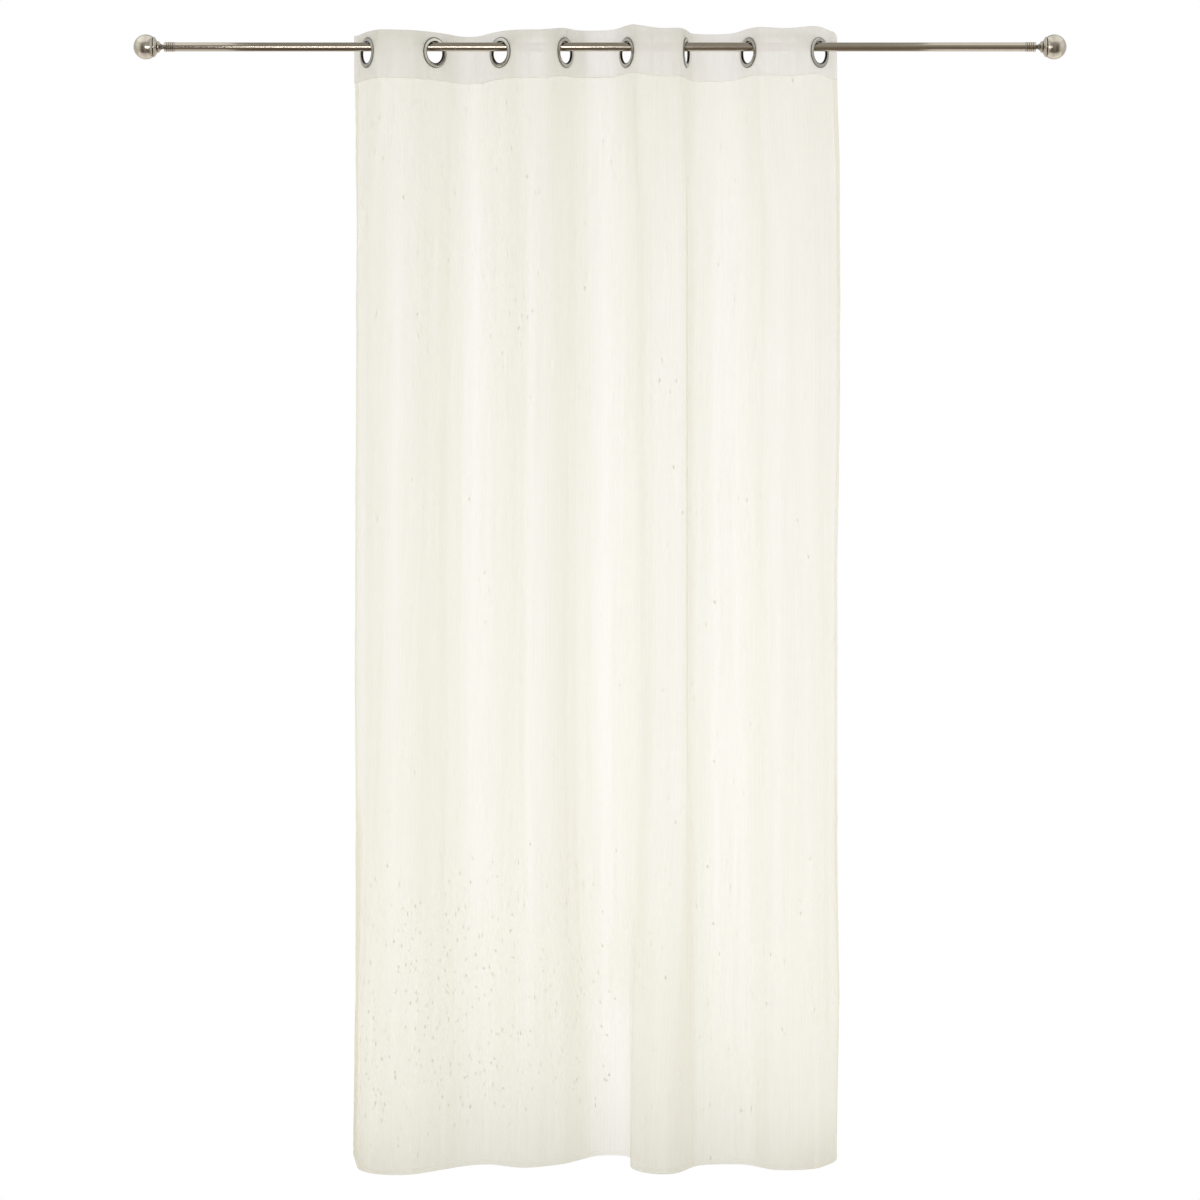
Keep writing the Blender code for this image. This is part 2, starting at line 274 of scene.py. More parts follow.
def node_group(
    name: str, kind: str, inputs: dict[str, Union[str, int, float]], *outputs: str
) -> Callable[[Callable[[GroupWiring], None]], Callable[[], Tree]]:
    """Turn a function that wires a node group into one that returns it, built at the first call.

    Args:
        name: The group's name.
        kind: Shader or Geometry.
        inputs: Each input's default number, or its socket type where it has none.
        outputs: Names of the outputs: numbers of a shader group, geometry of the other kind.

    Returns:
        The decorator.
    """
    result = "Geometry" if kind == "Geometry" else "Float"

    def wrap(wire: Callable[[GroupWiring], None]) -> Callable[[], Tree]:
        """Make the function that returns the group."""

        @wraps(wire)
        def group() -> Tree:
            """Return the group, built at the first call."""
            found = bpy.data.node_groups.get(name)
            if found:
                return found
            tree = bpy.data.node_groups.new(name, kind + "NodeTree")
            for label, value in inputs.items():
                plain = {str: value, int: "Int", float: "Float"}[type(value)]
                made = tree.interface.new_socket(label, in_out="INPUT", socket_type="NodeSocket%s" % plain)
                if plain != value:
                    made.default_value = value
            for label in outputs:
                tree.interface.new_socket(label, in_out="OUTPUT", socket_type="NodeSocket" + result)
            wire(GroupWiring(tree))
            return tree

        return group

    return wrap


def new_mesh(name: str, points: Sequence, edges: Sequence, faces: Sequence) -> Mesh:
    """Mesh of points, edges and faces.

    Args:
        name: The mesh's name.
        points: Its points.
        edges: Its loose edges, as pairs of point numbers.
        faces: Its faces, as rows of point numbers.

    Returns:
        The mesh.
    """
    mesh = bpy.data.meshes.new(name)
    mesh.from_pydata(points, edges, faces)
    return mesh


def store(mesh: Mesh, name: str, values: Array) -> None:
    """Store one number for each of a mesh's points."""
    mesh.attributes.new(name, "FLOAT", "POINT").data.foreach_set("value", values.ravel().astype(np.float32))


def link_object(name: str, data: bpy.types.ID) -> Object:
    """Put a mesh, a light or a camera into the scene as an object at the origin.

    Args:
        name: The object's name.
        data: Its mesh, light or camera.

    Returns:
        The object.
    """
    thing = bpy.data.objects.new(name, data)
    bpy.context.scene.collection.objects.link(thing)
    return thing


def settled_mesh(thing: Object, name: str) -> Mesh:
    """Mesh of an object with its modifiers worked in, under a new name.

    Args:
        thing: The object, which is removed.
        name: Name of the new mesh.

    Returns:
        The plain mesh.
    """
    graph = bpy.context.evaluated_depsgraph_get()
    mesh = bpy.data.meshes.new_from_object(thing.evaluated_get(graph))
    mesh.name = name
    bpy.data.objects.remove(thing, do_unlink=True)
    return mesh


def run_tree(name: str, source: Mesh, tree: Tree, values: dict[str, object]) -> Mesh:
    """Run a geometry tree on a mesh and return its result as a plain mesh.

    Args:
        name: Name of the new mesh.
        source: The mesh that goes into the tree.
        tree: The geometry tree.
        values: The tree's other inputs by name.

    Returns:
        The plain mesh.
    """
    thing = link_object(name + "_source", source)
    modifier = thing.modifiers.new(tree.name, "NODES")
    modifier.node_group = tree
    for item in tree.interface.items_tree:
        if item.item_type == "SOCKET" and item.in_out == "INPUT" and item.name in values:
            modifier[item.identifier] = values[item.name]
    return settled_mesh(thing, name)


def facing_out(mesh: Mesh) -> Mesh:
    """Merge a closed mesh's doubles and turn its faces outwards.

    Args:
        mesh: The mesh, which is changed.

    Returns:
        The same mesh.
    """
    shape = bmesh.new()
    shape.from_mesh(mesh)
    bmesh.ops.remove_doubles(shape, verts=shape.verts, dist=MERGE_DISTANCE)
    bmesh.ops.recalc_face_normals(shape, faces=shape.faces)
    shape.to_mesh(mesh)
    shape.free()
    return mesh


def dress(thing: Object, slot: Slot, *nodes: str) -> Object:
    """Fix a finished piece to the frame.

    Args:
        thing: The piece, in its place.
        slot: The record's slot of the piece; not used.
        nodes: The frame's nodes that it stands for.

    Returns:
        The same piece.
    """
    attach(thing, BODY)
    if nodes:
        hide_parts(*nodes)
    LOG.info("%s: %d faces, stands for %s", thing.name, len(thing.data.polygons), list(nodes))
    return thing


# ---------------------------------------------------------------- shared shader effects


@node_group("plain_weave", "Shader", {
    "Vector": "Vector", "Warp Pitch": 0.6 * MM, "Weft Pitch": 0.6 * MM, "Yarn Share": 0.6,
}, "Height", "Gap")
def woven_group(g: GroupWiring) -> None:
    """Plain weave on a map in metres: height of the yarns and the gaps between them.

    Args:
        g: The new group's wiring.
    """
    split = g.split(g.given["Vector"])
    crowns, cells = [], []
    for axis, pitch in (("X", "Warp Pitch"), ("Y", "Weft Pitch")):
        turns = g.maths("DIVIDE", split[axis], g.given[pitch])
        cells.append(g.maths("FLOOR", turns))
        crowns.append(g.maths("ABSOLUTE", g.maths("SINE", g.maths("MULTIPLY", turns, math.pi))))
    over = g.maths("MODULO", g.maths("ABSOLUTE", g.maths("ADD", *cells)), 2.0)
    lifted = g.node("ShaderNodeMix", {"Factor": over, "A": crowns[0], "B": crowns[1]}, data_type="FLOAT")
    g.feed(g.taken["Height"], lifted.outputs["Result"])
    bare = g.maths("SUBTRACT", 1.0, g.given["Yarn Share"])
    clear = [g.maths("LESS_THAN", crown, bare) for crown in crowns]
    g.feed(g.taken["Gap"], g.maths("MULTIPLY", *clear))


@node_group("drawn_out_unevenness", "Shader", {
    "Vector": "Vector", "Across Size": 4.0 * MM, "Along Size": 200.0 * MM, "Detail": 3.0,
}, "Value")
def uneven_group(g: GroupWiring) -> None:
    """Unevenness drawn out along one direction: spun yarns in cloth, polishing marks in metal.

    Args:
        g: The new group's wiring.
    """
    split = g.split(g.given["Vector"])
    sizes = {"X": "Across Size", "Y": "Along Size", "Z": "Across Size"}
    joined = g.node("ShaderNodeCombineXYZ", {
        axis: g.maths("DIVIDE", split[axis], g.given[size]) for axis, size in sizes.items()
    })
    noise = g.node("ShaderNodeTexNoise", {
        "Vector": joined.outputs[0], "Scale": 1.0, "Detail": g.given["Detail"],
    }, noise_dimensions="3D")
    g.feed(g.taken["Value"], noise.outputs["Fac"])


# ---------------------------------------------------------------- finishes


class Finish:
    """A procedural material that is built once and shared by the pieces that have it."""

    name: str

    def material(self) -> bpy.types.Material:
        """Return the finish's material, built at the first call.

        Returns:
            The material.
        """
        found = bpy.data.materials.get(self.name)
        if found:
            return found
        made = bpy.data.materials.new(self.name)
        self.wire(cleared(made))
        return made

    def wire(self, w: Wiring) -> None:
        """Add the finish's nodes to an empty material."""
        raise NotImplementedError


@dataclass(frozen=True)
class ClothFinish(Finish):
    """Sheer plain-weave cloth: light bounces off it, glows through it and passes between yarns."""

    name: str
    light_tone: Tone
    deep_tone: Tone
    glow_tone: Tone
    cover: float                # share of one layer that is solid where it isn't a gap
    gap_cover: float            # the same in a gap
    glow: float                 # share of the light on the yarns that passes through them
    warp_pitch: float = 0.62 * MM
    weft_pitch: float = 0.70 * MM
    yarn_share: float = 0.62
    streak_size: float = 3.2 * MM
    streak_length: float = 260.0 * MM
    streak_strength: float = 0.29
    streak_range: tuple[float, float] = (0.2, 0.8)
    # how much the stored painted shade and light, with the uneven yarn, change the cover and the tone
    shade_and_yarn_cover: float = 0.09
    shade_and_yarn_tone: float = 0.5
    relief: float = 0.12 * MM
    relief_strength: float = 0.35
    roughness: float = 0.85
    specular: float = 0.12
    sheen: float = 0.15
    sheen_roughness: float = 0.6

    @property
    def mean_cover(self) -> float:
        """Cover of one layer, gaps and yarns taken together."""
        bare = 1.0 - 2.0 * math.asin(1.0 - self.yarn_share) / math.pi
        return self.cover - (self.cover - self.gap_cover) * (1.0 - bare) ** 2

    def wire(self, w: Wiring) -> None:
        """Add the cloth's nodes to an empty material.

        Args:
            w: The material's wiring.
        """
        flat_map = w.node("ShaderNodeUVMap", uv_map=CLOTH_MAP).outputs[0]
        layers, shade_and_uneven_yarn = w.attribute(LAYERS), w.attribute(PAINTED_SHADE_AND_YARN)
        weave = w.effect(
            woven_group(), Vector=flat_map, Warp_Pitch=self.warp_pitch,
            Weft_Pitch=self.weft_pitch, Yarn_Share=self.yarn_share,
        ).outputs
        streaks = w.effect(
            uneven_group(), Vector=flat_map, Across_Size=self.streak_size, Along_Size=self.streak_length,
        ).outputs[0]
        # painted shade and light from the stored bands, with the uneven yarn, darken or lighten the tone and
        # the cover
        banded_tone = w.maths("MULTIPLY", shade_and_uneven_yarn, self.shade_and_yarn_tone)
        tone = w.maths("ADD", w.remap(streaks, *self.streak_range), banded_tone, clamp=True)

        open_weave = w.maths("MULTIPLY", weave["Gap"], self.cover - self.gap_cover)
        swing = w.maths("MULTIPLY", w.maths("SUBTRACT", streaks, 0.5), self.streak_strength)
        banded = w.maths("ADD", swing, w.maths("MULTIPLY", shade_and_uneven_yarn, self.shade_and_yarn_cover))
        cover = w.maths("SUBTRACT", w.maths("ADD", banded, self.cover), open_weave)
        passed = w.maths("POWER", w.maths("SUBTRACT", 1.0, cover, clamp=True), layers)
        front = w.node("ShaderNodeBsdfPrincipled", {
            "Roughness": self.roughness,
            "Specular IOR Level": self.specular,
            "Sheen Weight": self.sheen,
            "Sheen Roughness": self.sheen_roughness,
            "Base Color": w.blend(tone, self.light_tone, self.deep_tone),
            "Alpha": w.maths("SUBTRACT", 1.0, passed),
            "Normal": w.bump(weave["Height"], self.relief_strength, self.relief),
        })
        through = w.node("ShaderNodeBsdfTranslucent", {"Color": self.glow_tone})
        unhidden = w.maths("POWER", 1.0 - self.mean_cover, layers)
        seen_past = w.shaders(unhidden, through, w.node("ShaderNodeBsdfTransparent"))
        w.surface(w.shaders(self.glow, front, seen_past))


@dataclass(frozen=True)
class YarnFinish(Finish):
    """Solid spun yarn, for sewing thread and for the thick places in the voile's yarn."""

    name: str
    tone: Tone
    deep_tone: Tone
    glow: float
    twist_size: float = 0.5 * MM
    relief: float = 0.05 * MM
    relief_strength: float = 0.4
    roughness: float = 0.8
    specular: float = 0.2

    def wire(self, w: Wiring) -> None:
        """Add the yarn's nodes to an empty material.

        Args:
            w: The material's wiring.
        """
        place = w.node("ShaderNodeTexCoord").outputs["Object"]
        sizes = {"Across_Size": self.twist_size, "Along_Size": self.twist_size}
        twist = w.effect(uneven_group(), Vector=place, **sizes).outputs[0]
        front = w.node("ShaderNodeBsdfPrincipled", {
            "Roughness": self.roughness,
            "Specular IOR Level": self.specular,
            "Base Color": w.blend(w.remap(twist, 0.3, 0.7), self.tone, self.deep_tone),
            "Normal": w.bump(twist, self.relief_strength, self.relief),
        })
        w.surface(w.shaders(self.glow, front, w.node("ShaderNodeBsdfTranslucent", {"Color": self.tone})))


@dataclass(frozen=True)
class NickelFinish(Finish):
    """Nickel plate: satin, with fine polishing marks along or around the piece, and painted shade where a
    piece stores it.
    """

    name: str
    tone: Tone
    cloudy_tone: Tone
    roughness: float
    # colour of the painted shade in hollows and gaps
    shade_tone: Tone = colour(0.06, 0.052, 0.042)
    mark_across: float = 0.35 * MM
    mark_along: float = 12.0 * MM
    mark_roughness: float = 0.05
    relief: float = 0.002 * MM
    relief_strength: float = 0.3
    cloud_size: float = 18.0 * MM

    def wire(self, w: Wiring) -> None:
        """Add the metal's nodes to an empty material.

        Args:
            w: The material's wiring.
        """
        split = w.split(w.node("ShaderNodeTexCoord").outputs["Object"])
        turned = w.in_order("ShaderNodeCombineXYZ", split["Y"], split["X"], split["Z"]).outputs[0]
        marks, clouds = (
            w.effect(
                uneven_group(), Vector=turned, Across_Size=across, Along_Size=along, Detail=detail,
            ).outputs[0]
            for across, along, detail in (
                (self.mark_across, self.mark_along, 2.0), (self.cloud_size, self.cloud_size, 4.0),
            )
        )
        tone = w.blend(w.remap(clouds, 0.35, 0.65), self.tone, self.cloudy_tone)
        spread = w.maths("MULTIPLY", w.maths("SUBTRACT", marks, 0.5), self.mark_roughness * 2.0)
        w.surface(w.node("ShaderNodeBsdfPrincipled", {
            "Metallic": 1.0,
            # painted shade: darkened towards the shade colour by the share stored on the mesh
            "Base Color": w.blend(w.attribute(PAINTED_SHADE), tone, self.shade_tone),
            "Roughness": w.maths("ADD", self.roughness, spread),
            "Normal": w.bump(marks, self.relief_strength, self.relief),
        }))


VOILE = ClothFinish(
    name="ivory_voile",
    light_tone=colour(0.962, 0.948, 0.880),
    deep_tone=colour(0.910, 0.888, 0.798),
    glow_tone=colour(0.955, 0.938, 0.862),
    cover=0.56,
    gap_cover=0.06,
    glow=0.50,
)
STIFFENED_VOILE = ClothFinish(
    name="ivory_voile_on_stiffener",
    light_tone=colour(0.971, 0.949, 0.920),
    deep_tone=colour(0.917, 0.905, 0.858),
    glow_tone=colour(0.956, 0.938, 0.908),
    cover=0.76,
    gap_cover=0.40,
    glow=0.46,
    streak_size=7.0 * MM,
    streak_length=90.0 * MM,
    streak_strength=0.20,
    shade_and_yarn_cover=0.14,
)
SLUB_YARN = YarnFinish("slub_yarn", colour(0.82, 0.80, 0.71), colour(0.73, 0.71, 0.62), 0.38)
SEWING_THREAD = YarnFinish("sewing_thread", colour(0.96, 0.95, 0.90), colour(0.92, 0.90, 0.84), 0.45)
ROD_NICKEL = NickelFinish(
    "brushed_warm_nickel", colour(0.60, 0.550, 0.480), colour(0.57, 0.520, 0.450), 0.17,
    mark_along=140.0 * MM, relief=0.001 * MM,
)
FINIAL_NICKEL = NickelFinish(
    "satin_warm_nickel", colour(0.66, 0.62, 0.55), colour(0.60, 0.555, 0.485), 0.26,
    mark_across=0.6 * MM, mark_along=0.6 * MM,
)
EYELET_NICKEL = NickelFinish(
    "pressed_nickel", colour(0.56, 0.545, 0.505), colour(0.46, 0.45, 0.41), 0.13,
    # nearly black painted shade in the eyelets' bores and at their outer edges
    shade_tone=colour(0.012, 0.010, 0.008),
    mark_across=0.5 * MM, mark_along=0.5 * MM, cloud_size=9.0 * MM,
)


# ---------------------------------------------------------------- folds of the hung cloth


class Flank(NamedTuple):
    """One crossing of the rod's line, in mm and degrees.

    A tilt is the angle between the cloth and the rod. Flanks go in turn towards the viewer
    and away, starting at the left edge, which hangs behind the rod.
    """

    rod_x: float
    rod_tilt: float
    fall_x: float
    fall_tilt: float
    hem_x: float
    hem_y: float
    hem_tilt: float
    hem_cloth: float      # flat cloth at the hem since the flank before, or since the left edge
    top: float            # height of the cloth's top edge over the rod's axis at this flank
    top_after: float      # the same in the middle of the fold after it, or at the right edge


class Edge(NamedTuple):
    """Tilt of the cloth at one of its side edges, at the three stages, in degrees."""

    rod_tilt: float
    fall_tilt: float
    hem_tilt: float


@dataclass(frozen=True)
class HungFolds:
    """The line of the hung cloth in plan, from its left to its right edge, at any depth."""

    cloth_width: float = 1410.0 * MM
    eyelet_pitch: float = 186.0 * MM
    band_height: float = 102.0 * MM
    hem_height: float = -2371.0 * MM
    flat_at_rod: float = 33.0 * MM
    flat_below: float = 10.0 * MM
    fall_reached: float = 0.15
    hem_starts: float = 0.55
    fold_reach: float = 0.22
    bulge_trials: int = 26
    trial_steps: int = 40
    curve_steps: int = 160
    margin_steps: int = 24
    left_edge_top: float = 29.3
    left_edge: Edge = Edge(38.0, 70.0, 81.0)
    right_edge: Edge = Edge(-6.0, 45.0, 85.0)
    flanks: tuple[Flank, ...] = (
        Flank(-493.5, 58.5, -503.0, 72.0, -519.0, 20.0, 80.0, 72.0, 32.2, 29.2),
        Flank(-350.6, 44.0, -350.0, 46.0, -336.0, -36.0, 31.0, 250.0, 31.1, 29.6),
        Flank(-211.2, 45.0, -208.0, 40.0, -200.0, -6.0, 24.0, 149.0, 33.2, 28.9),
        Flank(-73.8, 59.0, -70.0, 54.0, -43.0, 42.0, 45.0, 177.0, 40.2, 43.0),
        Flank(56.8, 61.5, 68.0, 52.0, 66.0, 30.0, 92.0, 159.0, 45.4, 32.3),
        Flank(182.5, 76.0, 184.0, 95.0, 186.0, -28.0, 55.0, 209.0, 36.0, 34.4),
        Flank(314.4, 61.0, 328.0, 46.0, 338.0, -15.0, 39.0, 172.0, 38.8, 33.1),
        Flank(465.3, 49.0, 478.0, 62.0, 478.0, -2.0, 50.0, 158.0, 43.0, 36.9),
    )

    @property
    def outer(self) -> float:
        """Flat cloth outside the first and the last eyelet."""
        return (self.cloth_width - self.eyelet_pitch * (len(self.flanks) - 1)) / 2.0

    def staged(self, at_rod: float, in_fall: float, at_hem: float, drop: float) -> float:
        """Value at a depth, from its values at the rod, in the fall and at the hem.

        Args:
            at_rod: Value at the rod.
            in_fall: Value in the fall.
            at_hem: Value at the hem.
            drop: Depth down the cloth, from 0 at the rod to 1 at the hem.

        Returns:
            The value at that depth.
        """
        upper = at_rod + (in_fall - at_rod) * ease(drop / self.fall_reached)
        lower = ease((drop - self.hem_starts) / (1.0 - self.hem_starts))
        return float(upper + (at_hem - in_fall) * lower)

    @staticmethod
    def side(index: int) -> float:
        """-1 where the cloth, followed to the right, comes towards the viewer, else +1."""
        return -1.0 if index % 2 == 0 else 1.0

    @staticmethod
    def direction(tilt: float, side: float) -> Array:
        """Unit direction of the cloth in plan, going right."""
        angle = math.radians(tilt)
        return np.array((math.cos(angle), side * math.sin(angle)))

    def tilt(self, index: int, drop: float) -> float:
        """Angle between the cloth and the rod at a flank."""
        flank = self.flanks[index]
        return self.staged(flank.rod_tilt, flank.fall_tilt, flank.hem_tilt, drop)

    def middle(self, index: int, drop: float) -> Array:
        """Middle of a flank in plan.

        Args:
            index: The flank.
            drop: Depth down the cloth, from 0 to 1.

        Returns:
            Its place (x, y) in metres.
        """
        flank = self.flanks[index]
        across = self.staged(flank.rod_x, flank.fall_x, flank.hem_x, drop)
        return np.array((across, flank.hem_y * drop)) * MM

    def fold(self, ends: tuple[Array, ...], ways: tuple[Array, ...], cloth: float) -> Array:
        """Points of a fold that takes up the given length of cloth, its ends included.

        Args:
            ends: Where the fold starts and ends, in plan.
            ways: Unit directions of the two flanks, going right.
            cloth: Flat cloth in the fold.

        Returns:
            Points (n, 2) along the fold.
        """
        start, end = ends
        reach = self.fold_reach * cloth
        near = start + ways[0] * reach
        far = end - ways[1] * reach
        span = end - start
        out = np.array((-span[1], span[0])) / np.hypot(*span)
        if (near - start) @ out < 0.0:
            out = -out

        def curve(bulge: float, steps: int) -> Array:
            """Points of the fold for a bulge in its middle.

            Args:
                bulge: How far the middle stands out.
                steps: Steps along the fold.

            Returns:
                Points (n, 2) along the fold.
            """
            control = np.array((start, near, near + out * bulge, far + out * bulge, far, end))
            share = np.linspace(0.0, 1.0, steps + 1)[:, None]
            order = len(control) - 1
            ranks = np.arange(order + 1)
            ways_to = np.array([math.comb(order, rank) for rank in ranks])
            return (ways_to * share ** ranks * (1.0 - share) ** (order - ranks)) @ control

        low, high = 0.0, cloth
        for _ in range(self.bulge_trials):
            trial = (low + high) / 2.0
            steps = np.diff(curve(trial, self.trial_steps), axis=0)
            if np.hypot(steps[:, 0], steps[:, 1]).sum() < cloth:
                low = trial
            else:
                high = trial
        return curve(low, self.curve_steps)

    def margin(self, index: int, edge: Edge, cloth: float, drop: float, outward: float) -> Array:
        """Points from an outer flank's end to the cloth's side edge, bending evenly.

        Args:
            index: The flank.
            edge: Tilts at the side edge.
            cloth: Flat cloth in the margin.
            drop: Depth down the cloth.
            outward: -1 for the left margin, +1 for the right one.

        Returns:
            Points (n, 2), the flank's end left out.
        """
        shares = (np.arange(self.margin_steps) + 0.5) / self.margin_steps
        tilt = self.tilt(index, drop)
        turned = np.radians(tilt + (self.staged(*edge, drop) - tilt) * shares)
        step = outward * cloth / self.margin_steps
        moves = np.column_stack((np.cos(turned), self.side(index) * np.sin(turned))) * step
        return np.cumsum(moves, axis=0)

    def line(self, drop: float, across: Array) -> Array:
        """The cloth in plan at a depth.

        Args:
            drop: Depth down the cloth, from 0 at the rod to 1 at the hem.
            across: Places on the flat cloth, in metres from its left edge.

        Returns:
            Points (n, 2) in metres.
        """
        last = len(self.flanks) - 1
        flat = self.staged(self.flat_at_rod, self.flat_below, self.flat_below, drop)
        hem_cloth = [flank.hem_cloth * MM for flank in self.flanks]
        hem_cloth.append(self.cloth_width - sum(hem_cloth))
        rod_cloth = [self.outer] + [self.eyelet_pitch] * last + [self.outer]
        cloth = [top + (low - top) * drop for top, low in zip(rod_cloth, hem_cloth)]
        ways = [self.direction(self.tilt(i, drop), self.side(i)) for i in range(last + 1)]
        middles = [self.middle(i, drop) for i in range(last + 1)]

        start = middles[0] - ways[0] * flat
        left = start + self.margin(0, self.left_edge, cloth[0] - flat, drop, -1.0)
        parts = [left[::-1], start[None]]
        for i in range(last):
            ends = (middles[i] + ways[i] * flat, middles[i + 1] - ways[i + 1] * flat)
            parts.append(self.fold(ends, (ways[i], ways[i + 1]), cloth[i + 1] - 2.0 * flat))
        end = middles[last] + ways[last] * flat
        right = self.margin(last, self.right_edge, cloth[-1] - flat, drop, 1.0)
        parts += [end[None], end + right]
        points = np.vstack(parts)
        steps = np.diff(points, axis=0)
        travelled = np.concatenate(([0.0], np.cumsum(np.hypot(steps[:, 0], steps[:, 1]))))
        travelled *= self.cloth_width / travelled[-1]
        return np.column_stack([np.interp(across, travelled, points[:, k]) for k in (0, 1)])

    def top(self, across: Array) -> Array:
        """Height of the cloth's top edge at places on the flat cloth.

        Args:
            across: Places on the flat cloth from its left edge, in metres.

        Returns:
            Heights over the rod's axis, in metres.
        """
        places, heights = [0.0], [self.left_edge_top]
        for index, flank in enumerate(self.flanks):
            here = self.outer + self.eyelet_pitch * index
            after = min(here + self.eyelet_pitch / 2.0, self.cloth_width)
            places += [here, after]
            heights += [flank.top, flank.top_after]
        index = np.clip(np.searchsorted(places, across, side="right") - 1, 0, len(places) - 2)
        places, heights = np.array(places), np.array(heights) * MM
        share = (across - places[index]) / (places[index + 1] - places[index])
        return heights[index] + (heights[index + 1] - heights[index]) * ease(share)


class SoftLine(NamedTuple):
    """A soft line down the hung cloth, in mm on the flat cloth.

    As a crease, its strength is how many mm it stands towards the viewer. As a band of painted
    shade and light, it is how much darker and more solid the cloth is painted there, lighter and
    clearer below 0. As painted layers, it is how many more times the cloth is counted there, darker
    and more solid, though it doesn't lie on itself.
    """

    across: float     # from the left edge, at the line's upper end
    lean: float       # how far it goes right from its upper to its lower end
    upper: float      # below the heading's seam
    lower: float
    width: float
    strength: float


class Sway(NamedTuple):
    """How far a side edge of the voile hangs off its straight line, in mm, +X to the right."""

    below: float      # below the heading's seam
    left: float
    right: float


def table(kind: Callable[..., NamedTuple], *rows: tuple[float, ...]) -> tuple:
    """Rows of numbers as named tuples of one kind."""
    return tuple(kind(*row) for row in rows)


EDGE_SWAY = table(
    Sway,
    (-40, 1, 0), (95, 3, 1), (407, 0, 3.5), (718, -0.5, 2.1), (1030, -1.8, -4.2), (1341, -1.9, -4.9),
    (1653, 1.8, -3.2), (1965, 3.2, 5.3), (2276, 0, 1.7),
)

VOILE_CREASES = table(
    SoftLine,
    (78, 0, -10, 260, 4, -0.8), (114, 40, -10, 1500, 6, -0.8), (160, 3, -10, 190, 3.5, -0.9),
    (181, 2, -10, 150, 3, -0.8), (323, 30, 40, 1500, 6, -0.7), (493, 10, -10, 1750, 5, -1.5),
    (509, 9, -10, 1700, 5.5, 0.9), (722, 1, 60, 2100, 9, 1), (853, 24, 200, 1500, 7, -1),
    (940, 24, -10, 1900, 6, 1.2), (1084, 8, -10, 1900, 7, 0.9), (1195, 0, -10, 900, 6, -0.9),
    (1235, 0, 60, 1500, 7, 0.7), (1322, 1, -10, 240, 3.5, -0.9), (1341, 1, -10, 200, 3.5, -0.8),
    (1384, -36, 1080, 1290, 8, 1.3), (1396, -40, 1210, 1430, 8, -1.2), (1390, -34, 1380, 1560, 8, 1.1),
    (36, 30, 1500, 2290, 14, -2.2),
)

# Painted shade and light: bands down the voile that are darker and more solid, or lighter and clearer below
# 0, along its folds and creases, by its left edge, and low down.
VOILE_SHADE_BANDS = table(
    SoftLine,
    (16, 0, -60, 2700, 20, 0.9), (36, 0, 2000, 2700, 70, 1.5), (110, 0, 2180, 2700, 90, 1.1),
    (60, 30, 300, 1700, 9, -0.5), (122, 40, -10, 1800, 6, 0.5), (153, 50, -10, 2100, 10, -0.9),
    (323, 34, -10, 2000, 6, 0.6), (354, 34, -10, 2000, 10, -0.7), (493, 10, -10, 1750, 5, 1),
    (515, 9, -10, 2150, 8, -0.8), (555, 10, 60, 1800, 46, -0.5), (622, 0, 250, 2000, 7, 0.8),
    (689, -1, 400, 2050, 6, 0.5), (722, 1, -10, 2300, 10, -0.8), (735, 0, 1900, 2700, 60, -2.4),
    (853, 30, 150, 1800, 7, 0.5), (862, 26, 60, 1900, 16, -0.6), (887, 34, -10, 2100, 8, -0.8),
    (905, 24, -10, 2000, 46, -2), (936, 34, -10, 2200, 10, -0.9), (1022, 4, -10, 2300, 16, 1),
    (1085, 8, -10, 2100, 8, -0.8), (1104, 8, -10, 1900, 6, -0.5), (1195, 0, -10, 1300, 6, 0.7),
    (1233, 0, -10, 2100, 9, -0.6), (1262, 0, 200, 1700, 6, 0.4), (1298, 0, 200, 2000, 7, -0.5),
    (1320, 0, 2180, 2700, 90, 1.3), (1352, 0, 600, 2200, 9, 1), (1398, 0, 1400, 2400, 14, 1.6),
)

# Painted shade: extra layers counted along the lower left edge and beside a fold near the hem, where the
# cloth doesn't lie on itself.
VOILE_SHADE_LAYERS = table(
    SoftLine,
    (26, 12, 1480, 2340, 34, 3), (806, 16, 1650, 2500, 10, 0.35),
)

HEADING_CREASES = table(
    SoftLine,
    (75, 2, -110, 5, 6, 0.7), (112, -2, -110, 5, 8, -0.8), (196, 4, -60, 5, 6, -0.8),
    (268, 3, -110, 5, 9, -1.2), (300, 3, -110, 5, 10, 0.9), (352, 1, -110, 5, 7, 0.8),
    (480, -4, -110, 5, 7, -0.9), (540, 2, -110, 5, 7, 0.7), (664, 3, -110, 5, 6, 0.8),
    (700, 5, -90, 5, 7, -0.9), (872, 2, -110, 5, 8, 0.8), (1028, -5, -80, 5, 8, -1),
    (1215, 3, -110, 5, 9, 0.9), (1250, 3, -110, 5, 7, -0.7), (1384, -2, -70, 5, 5, -0.6),
)

